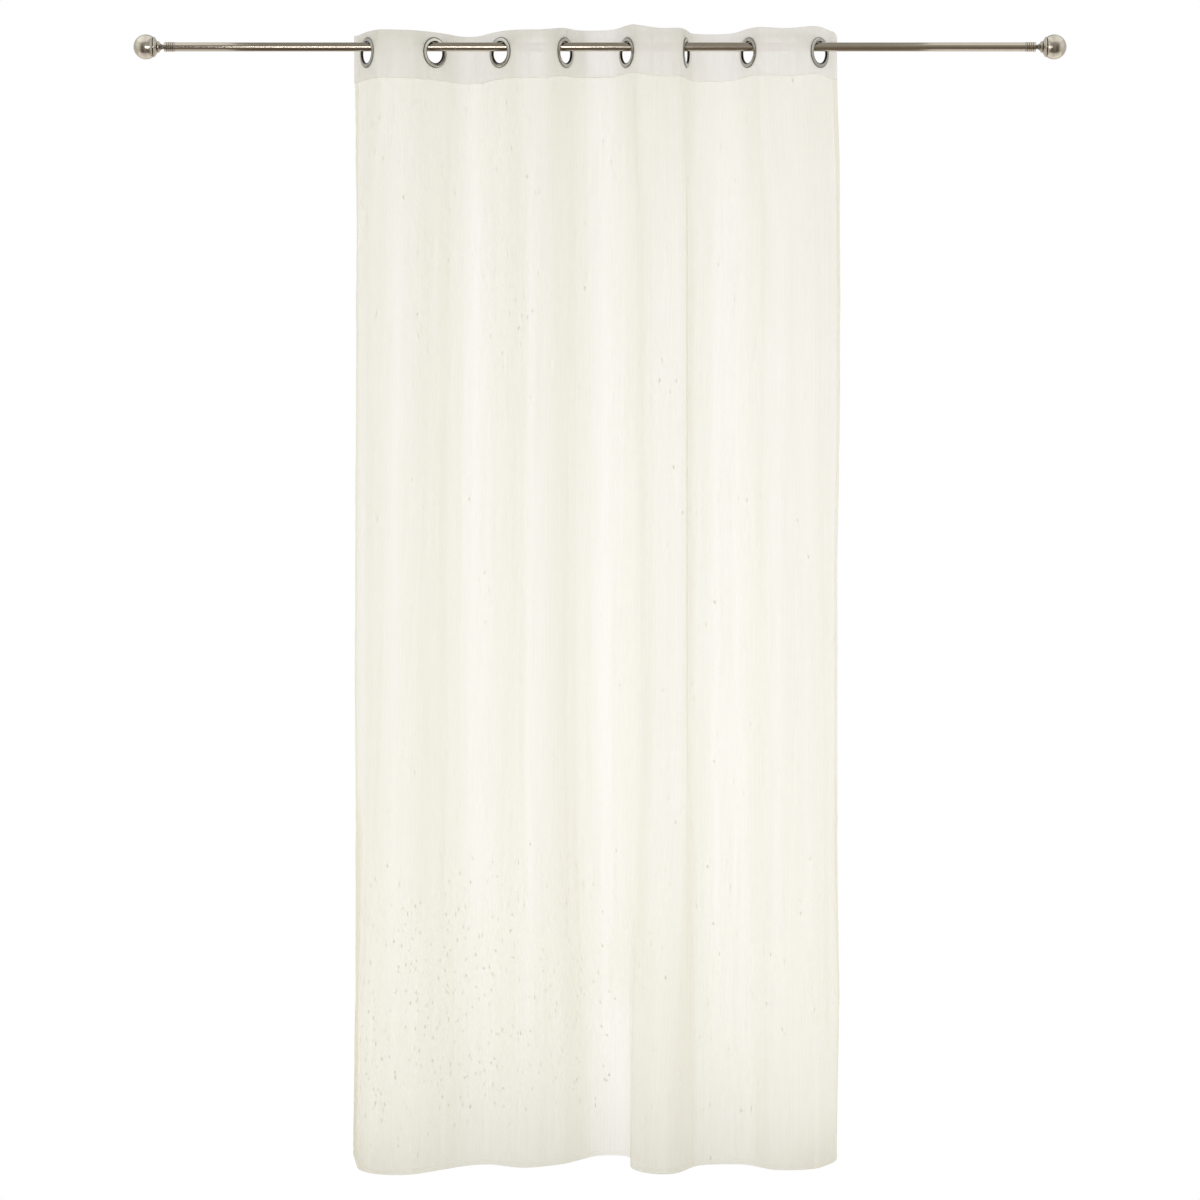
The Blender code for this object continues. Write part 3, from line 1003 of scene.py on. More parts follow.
# Painted shade and light on the heading: darker towards its seam and at its left, lighter at its right, and
# darker and lighter stripes down it.
HEADING_SHADE_BANDS = table(
    SoftLine,
    (700, 0, -66, 40, 4000, 0.3), (-150, 0, -180, 80, 620, 0.8), (1560, 0, -180, 80, 620, -0.7),
    (20, 0, -110, 5, 9, 0.8), (86, 2, -110, 5, 14, -0.5), (130, 0, -110, 5, 12, 0.6),
    (172, 0, -110, 5, 10, -0.6), (268, 3, -110, 5, 12, 0.9), (318, 0, -110, 5, 12, -0.6),
    (372, 0, -110, 5, 10, -0.7), (452, 0, -110, 5, 12, 0.4), (520, 0, -110, 5, 14, -0.7),
    (566, 0, -110, 5, 9, 0.5), (640, 0, -110, 5, 10, 0.6), (694, 0, -110, 5, 12, -0.7),
    (715, 0, -110, 5, 42, -0.8), (846, 0, -110, 5, 12, -0.5), (905, 0, -110, 5, 10, 0.4),
    (1010, 0, -110, 5, 14, 0.8), (1070, 0, -110, 5, 14, -0.6), (1150, 0, -110, 5, 10, 0.5),
    (1236, 0, -110, 5, 16, -0.7), (1300, 0, -110, 5, 10, 0.4), (1396, 0, -110, 5, 8, 0.8),
)


def soft_lines(lines: Sequence[SoftLine], across: Array, below: Array) -> Array:
    """Sum of soft lines on the flat cloth.

    Args:
        lines: The lines.
        across: Places on the flat cloth from its left edge, in metres.
        below: Depths below the heading's seam, in metres.

    Returns:
        The lines' strengths, added up at each place.
    """
    total = np.zeros(np.broadcast(across, below).shape)
    for line in lines:
        share = (below / MM - line.upper) / (line.lower - line.upper)
        centre = line.across + line.lean * np.clip(share, 0.0, 1.0)
        body = np.exp(-(((across / MM - centre) / line.width) ** 2))
        total += line.strength * body * ease(share * 4.0) * ease((1.0 - share) * 4.0)
    return total


@dataclass(frozen=True)
class FaintLines:
    """Many faint long lines: creases from the bolt and from handling, or yarns spun unevenly."""

    seed: int
    count: int
    longest: float
    shortest: float
    widest: float = 11.0
    narrowest: float = 3.0
    strongest: float = 0.55
    most_lean: float = 6.0

    def over(self, across: Array, below: Array, width: float, first: float, last: float) -> Array:
        """Sum of the lines on the flat cloth.

        Args:
            across: Places on the flat cloth from its left edge, in metres.
            below: Depths below the heading's seam, in metres.
            width: The cloth's width in metres.
            first: Depth of the cloth's top edge, in metres.
            last: Depth of its bottom edge, in metres.

        Returns:
            The lines' strengths, added up at each place.
        """
        draw = np.random.default_rng(self.seed)
        lines = []
        for _ in range(self.count):
            length = draw.uniform(self.shortest, self.longest)
            upper = draw.uniform(first / MM - length / 2.0, last / MM - length / 2.0)
            place, lean = draw.uniform(0.0, width / MM), draw.uniform(-self.most_lean, self.most_lean)
            wide = draw.uniform(self.narrowest, self.widest)
            strength = draw.uniform(-self.strongest, self.strongest)
            lines.append(SoftLine(place, lean, upper, upper + length, wide, strength))
        return soft_lines(lines, across, below)


# ---------------------------------------------------------------- cloth meshes


@dataclass
class ClothGrid:
    """A sheet's middle surface on rows down and columns across, with its thickness."""

    middle: Array          # (rows, columns, 3)
    flat: Array            # (rows, columns, 2): place on the flat cloth
    thickness: Array       # (rows, columns)
    # layers and density also carry painted shade and light: layers counted where the cloth doesn't lie on
    # itself, and bands painted darker or lighter; density also holds yarn spun unevenly.
    layers: Array          # (rows, columns): how many times the cloth lies on itself
    density: Array         # (rows, columns): how much thicker than usual the yarn is

    def normals(self) -> Array:
        """Unit normals on the viewer's side.

        Returns:
            Normals (rows, columns, 3).
        """
        down = np.gradient(self.middle, axis=0)
        right = np.gradient(self.middle, axis=1)
        normal = np.cross(down, right)
        return normal / np.linalg.norm(normal, axis=2, keepdims=True)

    def push(self, relief: Array) -> None:
        """Move the middle surface along its normals by the given relief."""
        self.middle = self.middle + self.normals() * relief[..., None]

    def faces_of(self, proud: float) -> tuple[Array, Array]:
        """Points of the front and of the back face, each raised by the given amount."""
        reach = self.normals() * (self.thickness / 2.0 + proud)[..., None]
        return self.middle + reach, self.middle - reach

    def quads(self) -> Array:
        """Corners (n, 4) of the faces between the grid's points.

        Returns:
            Four point numbers for each face.
        """
        index = np.arange(self.thickness.size).reshape(self.thickness.shape)
        corners = (index[:-1, :-1], index[1:, :-1], index[1:, 1:], index[:-1, 1:])
        return np.stack(corners, axis=-1).reshape(-1, 4)

    def solid(self, name: str) -> Mesh:
        """Closed mesh of the sheet with its flat map and its layers.

        Args:
            name: The mesh's name.

        Returns:
            The mesh.
        """
        count = self.thickness.size
        index = np.arange(count).reshape(self.thickness.shape)
        front = self.quads()
        quads = [front, (front + count)[:, ::-1]]
        rims = ((index[:, 0], False), (index[-1], False), (index[:, -1], True), (index[0], True))
        for near, turned in rims:
            far = near + count
            strip = np.stack((near[1:], near[:-1], far[:-1], far[1:]), axis=-1)
            quads.append(strip[:, ::-1] if turned else strip)
        faces = np.concatenate(quads)
        points = np.concatenate([face.reshape(-1, 3) for face in self.faces_of(0.0)])
        mesh = new_mesh(name, points.tolist(), [], faces.tolist())
        flat = np.concatenate((self.flat.reshape(-1, 2),) * 2).astype(np.float32)
        mesh.uv_layers.new(name=CLOTH_MAP).data.foreach_set("uv", flat[faces.ravel()].ravel())
        for label, values in ((LAYERS, self.layers), (PAINTED_SHADE_AND_YARN, self.density)):
            store(mesh, label, np.stack((values, values)))
        mesh.shade_smooth()
        mesh.set_sharp_from_angle(angle=SHARP_ANGLE)
        return mesh


def graded(bands: Outline) -> Array:
    """Places from 0 on, with a step of its own for each band.

    Args:
        bands: Where each band ends and its step, in mm.

    Returns:
        The places in metres, each band's end among them.
    """
    places, start = [0.0], 0.0
    for end, step in bands:
        count = max(1, round((end - start) / step))
        places += [start + (end - start) * k / count for k in range(1, count + 1)]
        start = end
    return np.array(places) * MM


def polyline_mesh(name: str, lines: Sequence[Array], closed: bool = False) -> Mesh:
    """Mesh of edges only, one chain for each line of points.

    Args:
        name: The mesh's name.
        lines: Points (n, 3) of each line.
        closed: Whether each line is joined end to start.

    Returns:
        The mesh.
    """
    points, edges = [], []
    for line in lines:
        first = len(points)
        points += [tuple(point) for point in line]
        edges += [(k, k + 1) for k in range(first, len(points) - 1)]
        if closed:
            edges.append((len(points) - 1, first))
    return new_mesh(name, points, edges, [])


def finish_tree(g: GroupWiring, shape: Socket) -> None:
    """End a geometry tree: real geometry, smooth faces and the piece's finish.

    Args:
        g: The tree's wiring.
        shape: The geometry so far.
    """
    real = g.node("GeometryNodeRealizeInstances", {"Geometry": shape})
    smooth = g.node("GeometryNodeSetShadeSmooth", {"Geometry": real.outputs["Geometry"]})
    feeds = {"Geometry": smooth.outputs["Geometry"], "Material": g.given["Finish"]}
    g.feed(g.taken["Geometry"], g.node("GeometryNodeSetMaterial", feeds).outputs["Geometry"])


def place_beads(
    g: GroupWiring, points: Socket, turned: Node, size: Sequence[str], parts: tuple[int, int],
    spread: tuple[SocketValue, SocketValue],
) -> None:
    """End a geometry tree that puts a small bead of random size on each point.

    Args:
        g: The tree's wiring.
        points: Where the beads go.
        turned: The node that turns them.
        size: The tree's inputs for a bead's size along X, Y and Z.
        parts: A bead's segments and rings.
        spread: Least and most of that size, as a number or for each direction.
    """
    sphere = {"Segments": parts[0], "Rings": parts[1], "Radius": 0.5}
    bead = g.node("GeometryNodeMeshUVSphere", sphere).outputs["Mesh"]
    scale = g.in_order("ShaderNodeCombineXYZ", *(g.given[name] for name in size)).outputs[0]
    sized = g.node("GeometryNodeTransform", {"Geometry": bead, "Scale": scale})
    kind = "FLOAT" if isinstance(spread[0], float) else "FLOAT_VECTOR"
    vary = g.node("FunctionNodeRandomValue", data_type=kind)
    numbers = {socket.name: socket for socket in vary.inputs if socket.enabled}
    for name, value in zip(("Min", "Max", "Seed"), (*spread, g.given["Seed"])):
        g.feed(numbers[name], value)
    placed = g.node("GeometryNodeInstanceOnPoints", {
        "Points": points,
        "Instance": sized.outputs["Geometry"],
        "Rotation": turned.outputs["Rotation"],
        "Scale": next(socket for socket in vary.outputs if socket.enabled),
    })
    finish_tree(g, placed.outputs["Instances"])


@node_group("stitches_along_seam", "Geometry", {
    "Seams": "Geometry", "Pitch": 3.0 * MM, "Length": 2.2 * MM, "Thread": 0.22 * MM,
    "Seed": 3, "Finish": "Material",
}, "Geometry")
def stitch_tree(g: GroupWiring) -> None:
    """Geometry tree that lays sewing stitches end to end along seam lines.

    Args:
        g: The new tree's wiring.
    """
    curve = g.node("GeometryNodeMeshToCurve", {"Mesh": g.given["Seams"]}).outputs["Curve"]
    spaced = g.node("GeometryNodeResampleCurve", {"Curve": curve, "Length": g.given["Pitch"]}, mode="LENGTH")
    tangent = g.node("GeometryNodeInputTangent").outputs["Tangent"]
    along = g.node("FunctionNodeAlignRotationToVector", {"Vector": tangent}, axis="Z")
    place_beads(g, spaced.outputs["Curve"], along, ("Thread", "Thread", "Length"), (5, 4), (0.85, 1.08))


@node_group("slubs_on_voile", "Geometry", {
    "Cloth": "Geometry", "Length": 6.5 * MM, "Width": 1.9 * MM, "Proud": 0.8 * MM,
    "Seed": 11, "Finish": "Material",
}, "Geometry")
def slub_tree(g: GroupWiring) -> None:
    """Geometry tree that scatters short thick places of yarn over the voile.

    Args:
        g: The new tree's wiring.
    """
    density = g.node("GeometryNodeInputNamedAttribute", {"Name": SLUB_DENSITY}, data_type="FLOAT")
    spots = g.node("GeometryNodeDistributePointsOnFaces", {
        "Mesh": g.given["Cloth"], "Density": density.outputs["Attribute"], "Seed": g.given["Seed"],
    }, distribute_method="RANDOM").outputs
    facing = g.node(
        "FunctionNodeAlignRotationToVector", {"Vector": spots["Normal"]}, axis="Y", pivot_axis="Z",
    )
    spread = ((0.5, 0.8, 0.5), (1.2, 1.1, 1.5))
    place_beads(g, spots["Points"], facing, ("Width", "Proud", "Length"), (6, 5), spread)


def sew(name: str, lines: Sequence[Array], slot: Slot) -> Object:
    """Sewing stitches along seam lines, as one piece.

    Args:
        name: The piece's name.
        lines: Points (n, 3) of each seam line.
        slot: The slot of the cloth that is sewn.

    Returns:
        The stitches.
    """
    values = {"Finish": SEWING_THREAD.material()}
    mesh = run_tree(name, polyline_mesh(name + "_lines", lines), stitch_tree(), values)
    return dress(link_object(name, mesh), slot)


@dataclass
class VoilePanel:
    """The voile: one drop from the heading's seam to the hem, with its hems turned in."""

    folds: HungFolds
    cloth_thickness: float = 0.45 * MM
    hem_thickness: float = 0.8 * MM
    hem_width: float = 10.0 * MM
    seam_in: float = 8.5 * MM
    tucked_in: float = 1.2 * MM
    hem_step: float = 0.9 * MM
    side_layers: float = 2.3
    bottom_layers: float = 1.05
    column_step: float = 4.4
    sway_reach: float = 45.0 * MM
    pucker_height: float = 0.8 * MM
    pucker_pitch: float = 23.0 * MM
    pucker_reach: float = 16.0 * MM
    rim: float = 0.1 * MM
    rim_share: float = 0.55         # of the cloth's thickness
    stitch_height: float = 0.05 * MM
    slubs_all_over: float = 90.0    # slubs on a square metre
    slubs_low_down: float = 1500.0
    slubs_high_up: float = 320.0
    low_from: tuple[float, float] = (1.55, 0.35)    # depth below the seam and fade, in metres
    low_to: tuple[float, float] = (2.1, 0.2)
    high_to: tuple[float, float] = (0.2, 0.9)
    left_to: tuple[float, float] = (0.25, 0.8)      # from the left edge and fade

    def columns(self) -> Array:
        """Places of the mesh's columns on the flat cloth, closer together at the side hems.

        Returns:
            The places in metres.
        """
        width = self.folds.cloth_width / MM
        side = (0.5, 0.5), (5.0, 2.3), (8.5, 1.8), (9.6, 1.1), (10.6, 0.5), (13.0, 1.2)
        left = graded(side)
        middle = graded(((width - 2 * side[-1][0], self.column_step),)) + left[-1]
        return np.concatenate((left, middle[1:-1], (width * MM - left)[::-1]))

    def depths(self) -> Array:
        """Share of the fall at each of the mesh's rows, closer together at the seam and the hem.

        Returns:
            Shares from 0 at the seam to 1 at the hem.
        """
        fall = 2300.0
        hem = (fall - 13.0, 1.5), (fall - 10.6, 1.2), (fall - 9.6, 0.5), (fall - 8.5, 1.1)
        ends = (fall - 5.0, 1.8), (fall - 0.5, 2.3), (fall, 0.5)
        body = (60.0, 7.0), (320.0, 17.0), (fall - 220.0, 30.0), (fall - 40.0, 18.0), (fall - 15.0, 8.0)
        return graded((*body, *hem, *ends)) / (fall * MM)

    def grid(self) -> ClothGrid:
        """The panel's middle surface, thickness and layers.

        Returns:
            The grid, its creases pushed in.
        """
        across, depths = self.columns(), self.depths()
        seam = self.folds.top(across) - self.folds.band_height + self.tucked_in
        fall = self.folds.hem_height - seam
        middle = np.array([
            np.column_stack((self.folds.line(depth, across), seam + fall * depth)) for depth in depths
        ])
        below = seam[None, :] - self.tucked_in - middle[..., 2]
        middle[..., 0] += self.sway(across, below)
        above_hem = middle[..., 2] - self.folds.hem_height
        from_side = np.minimum(across, self.folds.cloth_width - across)[None, :]
        in_side, in_bottom = (
            1.0 - np.clip((inside - self.hem_width) / self.hem_step + 0.5, 0.0, 1.0)
            for inside in (np.broadcast_to(from_side, below.shape), above_hem)
        )
        in_hem = np.maximum(in_side, in_bottom)
        added = (in_side * (self.side_layers - 1.0), in_bottom * (self.bottom_layers - 1.0))
        # painted shade: more layers counted where the cloth doesn't lie on itself
        layers = 1.0 + np.maximum(*added) + soft_lines(VOILE_SHADE_LAYERS, across[None, :], below)
        thickness = self.cloth_thickness + (self.hem_thickness - self.cloth_thickness) * in_hem
        at_rim = np.minimum(above_hem, from_side) < self.rim
        thickness = np.where(at_rim, thickness * self.rim_share, thickness)
        flat = np.stack((np.broadcast_to(across, below.shape), -below), axis=-1)
        place = (across[None, :], below)
        reach = (self.folds.cloth_width, 0.0, float(below.max()))
        # painted shade and light in bands, and yarn spun unevenly
        density = soft_lines(VOILE_SHADE_BANDS, *place)
        uneven = FaintLines(seed=23, count=260, longest=1500.0, shortest=300.0, widest=8.0)
        density += uneven.over(*place, *reach)
        grid = ClothGrid(middle, flat, thickness, layers, density)

        relief = soft_lines(VOILE_CREASES, *place)
        relief += FaintLines(seed=5, count=130, longest=1100.0, shortest=260.0).over(*place, *reach)
        grid.push(relief * MM + self.puckers(from_side, below))
        return grid

    def sway(self, across: Array, below: Array) -> Array:
        """How far the cloth is shifted to the right near its side edges, in metres.

        Args:
            across: Places on the flat cloth from its left edge, in metres.
            below: Depths below the heading's seam, in metres.

        Returns:
            The shift at each place.
        """
        depths = [sway.below * MM for sway in EDGE_SWAY]
        from_right = self.folds.cloth_width - across
        shift = np.zeros(below.shape)
        for side, inside in (("left", across), ("right", from_right)):
            off = [getattr(sway, side) * MM for sway in EDGE_SWAY]
            shift += np.interp(below, depths, off) * np.exp(-((inside / self.sway_reach) ** 2))
        return shift

    def puckers(self, from_side: Array, below: Array) -> Array:
        """Small ripples that sewing leaves along the side hems, uneven down the cloth.

        Args:
            from_side: Distances from the nearer side edge, in metres.
            below: Depths below the heading's seam, in metres.

        Returns:
            The ripples' relief in metres.
        """
        turn = 2.0 * math.pi * below / self.pucker_pitch
        uneven = np.sin(turn + 2.1 * np.sin(turn * 0.173)) * (0.55 + 0.45 * np.sin(turn * 0.061))
        return self.pucker_height * uneven * np.exp(-from_side / self.pucker_reach)

    def slub_cloth(self, grid: ClothGrid) -> Mesh:
        """The panel's middle surface with the density of slubs that the yarn shows.

        Args:
            grid: The panel's grid.

        Returns:
            The mesh that the slubs are scattered on.
        """
        mesh = new_mesh("slub_cloth", grid.middle.reshape(-1, 3).tolist(), [], grid.quads().tolist())
        across, below = grid.flat[..., 0], -grid.flat[..., 1]
        low = past(below, *self.low_from) * (1.0 - past(below, *self.low_to))
        high = 1.0 - past(below, *self.high_to)
        left = 1.0 - past(across, *self.left_to)
        density = self.slubs_all_over + self.slubs_low_down * low * (0.15 + 0.85 * left)
        store(mesh, SLUB_DENSITY, density + self.slubs_high_up * high * left)
        return mesh

    def build(self, heading: Object) -> Object:
        """Build the panel, its slubs and its hem stitches.

        Args:
            heading: The heading that the panel hangs from; not used.

        Returns:
            The panel.
        """
        grid = self.grid()
        panel = link_object("voile", grid.solid("voile"))
        panel.data.materials.append(VOILE.material())
        dress(panel, Slot.VOILE, "voile_panel")

        values = {"Finish": SLUB_YARN.material()}
        spots = run_tree("voile_slubs", self.slub_cloth(grid), slub_tree(), values)
        slubs = dress(link_object("voile_slubs", spots), Slot.VOILE)

        flat_x, flat_z = grid.flat[0, :, 0], grid.middle[:, grid.flat.shape[1] // 2, 2]
        left = int(np.argmin(abs(flat_x - self.seam_in)))
        right = int(np.argmin(abs(flat_x - (self.folds.cloth_width - self.seam_in))))
        bottom = int(np.argmin(abs(flat_z - self.folds.hem_height - self.seam_in)))
        lines = []
        for face in grid.faces_of(self.stitch_height):
            lines += [face[: bottom + 1, left], face[: bottom + 1, right], face[bottom, left : right + 1]]
        stitches = sew("hem_stitches", lines, Slot.VOILE)
        return panel


@dataclass
class HeadingBand:
    """The heading: voile folded over a stiffener, with a hole for each eyelet."""

    folds: HungFolds
    thickness: float = 1.7 * MM
    hole_radius: float = 25.4 * MM
    hole_steps: int = 48
    punch_reach: float = 12.0 * MM
    seam_up: float = 2.0 * MM
    column_step: float = 4.0
    corner_width: float = 11.0 * MM
    corner_height: float = 17.0 * MM
    edge_round: float = 0.8 * MM
    flange_reach: float = 34.0 * MM
    flange_fade: float = 14.0 * MM
    stitch_height: float = 0.05 * MM

    def grid(self) -> ClothGrid:
        """The band's middle surface, thickness and layers.

        Returns:
            The grid, its creases pushed in.
        """
        width = self.folds.cloth_width / MM
        across = graded((
            (1.0, 1.0), (width - 12.0, self.column_step), (width - 6.0, 2.0),
            (width - 1.0, 1.0), (width, 0.5),
        ))
        height = self.folds.band_height / MM
        seam_up = self.seam_up / MM
        below_top = graded((
            (0.4, 0.4), (1.2, 0.8), (4.0, 1.4), (height - 8.0, 4.6),
            (height - seam_up, 3.0), (height - 0.8, 1.2), (height, 0.8),
        ))
        plan = self.folds.line(0.0, across)
        top = self.folds.top(across)
        middle = np.empty((len(below_top), len(across), 3))
        middle[..., :2] = plan[None]
        cut = self.corner_cut(across)
        shares = 1.0 - below_top[:, None] / self.folds.band_height
        middle[..., 2] = top[None, :] - below_top[:, None] - cut[None, :] * shares
        below_seam = np.broadcast_to((below_top - self.folds.band_height)[:, None], middle.shape[:2])
        edge = np.minimum(below_top, self.folds.band_height - below_top)[:, None]
        rounding = np.sqrt(np.clip(edge / self.edge_round, 0.15, 1.0))
        thickness = np.broadcast_to(self.thickness * rounding, middle.shape[:2])
        flat = np.stack((np.broadcast_to(across, below_seam.shape), -below_seam), axis=-1)
        place = (across[None, :], below_seam)
        reach = (self.folds.cloth_width, -self.folds.band_height, 0.0)
        # painted shade and light in bands, and yarn spun unevenly
        density = soft_lines(HEADING_SHADE_BANDS, *place)
        uneven = FaintLines(seed=31, count=150, longest=400.0, shortest=120.0, widest=9.0)
        density += uneven.over(*place, *reach)
        grid = ClothGrid(middle, flat, thickness, np.ones(middle.shape[:2]), density)

        relief = soft_lines(HEADING_CREASES, *place)
        faint = FaintLines(seed=8, count=70, longest=160.0, shortest=50.0, strongest=0.4)
        relief += faint.over(*place, *reach)
        grid.push(relief * MM * self.clear_of_rings(across[None, :], middle[..., 2]))
        return grid

    def corner_cut(self, across: Array) -> Array:
        """How much lower the top edge is where the right-hand corner is rounded off."""
        share = np.clip((across - self.folds.cloth_width) / self.corner_width + 1.0, 0.0, 1.0)
        return self.corner_height * (1.0 - np.sqrt(1.0 - share * share))

    def clear_of_rings(self, across: Array, height: Array) -> Array:
        """0 under the eyelets, whose flanges hold the cloth flat, and 1 away from them.

        Args:
            across: Places on the flat cloth from its left edge, in metres.
            height: Their heights over the rod's axis, in metres.

        Returns:
            The share of the relief that is left.
        """
        low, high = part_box("eyelet_1")
        centre = (low.z + high.z) / 2.0
        places = self.folds.outer + self.folds.eyelet_pitch * np.arange(EYELET_COUNT)
        away = np.min([np.hypot(across - place, height - centre) for place in places], axis=0)
        return past(away, self.flange_reach, self.flange_fade)

    def build(self) -> Object:
        """Build the band with its holes and its seam stitches, and return the band."""
        grid = self.grid()
        band = link_object("heading_blank", grid.solid("heading_blank"))
        band.data.materials.append(STIFFENED_VOILE.material())
        outline = [(-self.punch_reach, 0.0), (-self.punch_reach, self.hole_radius),
                   (self.punch_reach, self.hole_radius), (self.punch_reach, 0.0)]
        cutters = []
        for index in range(EYELET_COUNT):
            name = "punch_%d" % (index + 1)
            cutter = link_object(name, turned_mesh(name, outline, self.hole_steps, None, False))
            cutter.data.transform(eyelet_place(self.folds, index))
            cut = band.modifiers.new(cutter.name, "BOOLEAN")
            cut.operation = "DIFFERENCE"
            cut.solver = "EXACT"
            cut.object = cutter
            cutters.append(cutter)
        mesh = settled_mesh(band, "heading")
        for cutter in cutters:
            bpy.data.objects.remove(cutter, do_unlink=True)
        mesh.set_sharp_from_angle(angle=SHARP_ANGLE)
        heading = dress(link_object("heading", mesh), Slot.HEADING, "heading_band")

        height = grid.middle[:, 0, 2] - grid.middle[-1, 0, 2]
        row = int(np.argmin(abs(height - self.seam_up)))
        lines = [face[row, 1:-1] for face in grid.faces_of(self.stitch_height)]
        stitches = sew("heading_stitches", lines, Slot.HEADING)
        return heading


# ---------------------------------------------------------------- turned metal pieces


@node_group("turned_round_x", "Geometry", {
    "Outline": "Geometry", "Steps": 64, "Guide Radius": 10.0 * MM, "Finish": "Material",
}, "Geometry")
def turning_tree(g: GroupWiring) -> None:
    """Geometry tree that turns an outline round the X axis, as on a lathe.

    The outline's points stand at (along, 0, radius). A closed outline gives a ring or a tube.

    Args:
        g: The new tree's wiring.
    """
    split, guide = g.split(g.node("GeometryNodeInputPosition").outputs[0]), g.given["Guide Radius"]
    along, up = g.maths("MULTIPLY", split["X"], -1.0), g.maths("SUBTRACT", split["Z"], guide)
    laid = g.in_order("ShaderNodeCombineXYZ", up, along).outputs[0]
    moved = g.node("GeometryNodeSetPosition", {"Geometry": g.given["Outline"], "Position": laid})
    profile = g.node("GeometryNodeMeshToCurve", {"Mesh": moved.outputs["Geometry"]}).outputs["Curve"]
    circle = g.node("GeometryNodeCurvePrimitiveCircle", {
        "Resolution": g.given["Steps"], "Radius": guide,
    }, mode="RADIUS").outputs["Curve"]
    sweep = g.node("GeometryNodeCurveToMesh", {"Curve": circle, "Profile Curve": profile}).outputs["Mesh"]
    quarter = (0.0, math.pi / 2.0, 0.0)
    laid_down = g.node("GeometryNodeTransform", {"Geometry": sweep, "Rotation": quarter}).outputs["Geometry"]
    feeds = {"Geometry": laid_down, "Distance": MERGE_DISTANCE}
    finish_tree(g, g.node("GeometryNodeMergeByDistance", feeds).outputs["Geometry"])


def turned_mesh(
    name: str, outline: Outline, steps: int, finish: Optional[Finish], closed: bool
) -> Mesh:
    """Turn an outline of (along, radius) points round the X axis.

    Args:
        name: The mesh's name.
        outline: Points along the outline. An open one begins and ends on the axis.
        steps: Steps round the axis.
        finish: The piece's finish, or None for a cutting tool.
        closed: Whether the outline is joined end to start.

    Returns:
        The closed mesh with its faces pointing out.
    """
    points = [(along, 0.0, radius) for along, radius in outline]
    source = polyline_mesh(name + "_outline", [np.array(points)], closed)
    values: dict[str, object] = {"Steps": steps}
    if finish:
        values["Finish"] = finish.material()
    mesh = facing_out(run_tree(name, source, turning_tree(), values))
    mesh.shade_smooth()
    mesh.set_sharp_from_angle(angle=SHARP_ANGLE)
    return mesh


def paint_shade(mesh: Mesh, shade_share: Callable[[Array, Array], Array]) -> None:
    """Store a turned piece's painted shade, before it is put in its place.

    Args:
        mesh: The piece, its axis along X.
        shade_share: Gives the painted shade, 0 to 1, for places along the axis and their radii.
    """
    points = np.empty(len(mesh.vertices) * 3, dtype=np.float32)
    mesh.vertices.foreach_get("co", points)
    along, across, up = points.reshape(-1, 3).T
    store(mesh, PAINTED_SHADE, shade_share(along, np.hypot(across, up)))


def arc(centre: tuple[float, float], radius: float, start: float, end: float, steps: int) -> Outline:
    """Points of an arc in an outline, angles in degrees from the direction along the axis.

    Args:
        centre: The arc's centre, as along and radius.
        radius: The arc's own radius.
        start: Its first angle.
        end: Its last angle.
        steps: Steps along it.

    Returns:
        The points.
    """
    points = []
    for step in range(steps + 1):
        angle = math.radians(start + (end - start) * step / steps)
        points.append((centre[0] + radius * math.cos(angle), centre[1] + radius * math.sin(angle)))
    return points


def softened(corners: Sequence[tuple[float, float, float]], steps: int = 4) -> Outline:
    """Closed outline with rounded corners.

    Args:
        corners: Along, radius and how far before and after it each corner's rounding reaches.
        steps: Steps in each rounding.

    Returns:
        The outline's points.
    """
    points = []
    for index, (along, radius, cut) in enumerate(corners):
        here = Vector((along, radius))
        before = Vector(corners[index - 1][:2]) - here
        after = Vector(corners[(index + 1) % len(corners)][:2]) - here
        if cut <= 0.0:
            points.append((along, radius))
            continue
        first = here + before.normalized() * min(cut, before.length * 0.48)
        last = here + after.normalized() * min(cut, after.length * 0.48)
        for step in range(steps + 1):
            share = step / steps
            point = first.lerp(here, share).lerp(here.lerp(last, share), share)
            points.append(tuple(point))
    return points


def eyelet_place(folds: HungFolds, index: int) -> Matrix:
    """Place of an eyelet: its centre from the frame, its axis square to the cloth.

    Args:
        folds: The folds that the cloth hangs in.
        index: The eyelet, from 0 at the left.

    Returns:
        The transform from the ring's own axes.
    """
    low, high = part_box("eyelet_%d" % (index + 1))
    turn = folds.side(index) * math.radians(folds.flanks[index].rod_tilt) + math.pi / 2.0
    return Matrix.Translation((low + high) / 2.0) @ Matrix.Rotation(turn, 4, "Z")


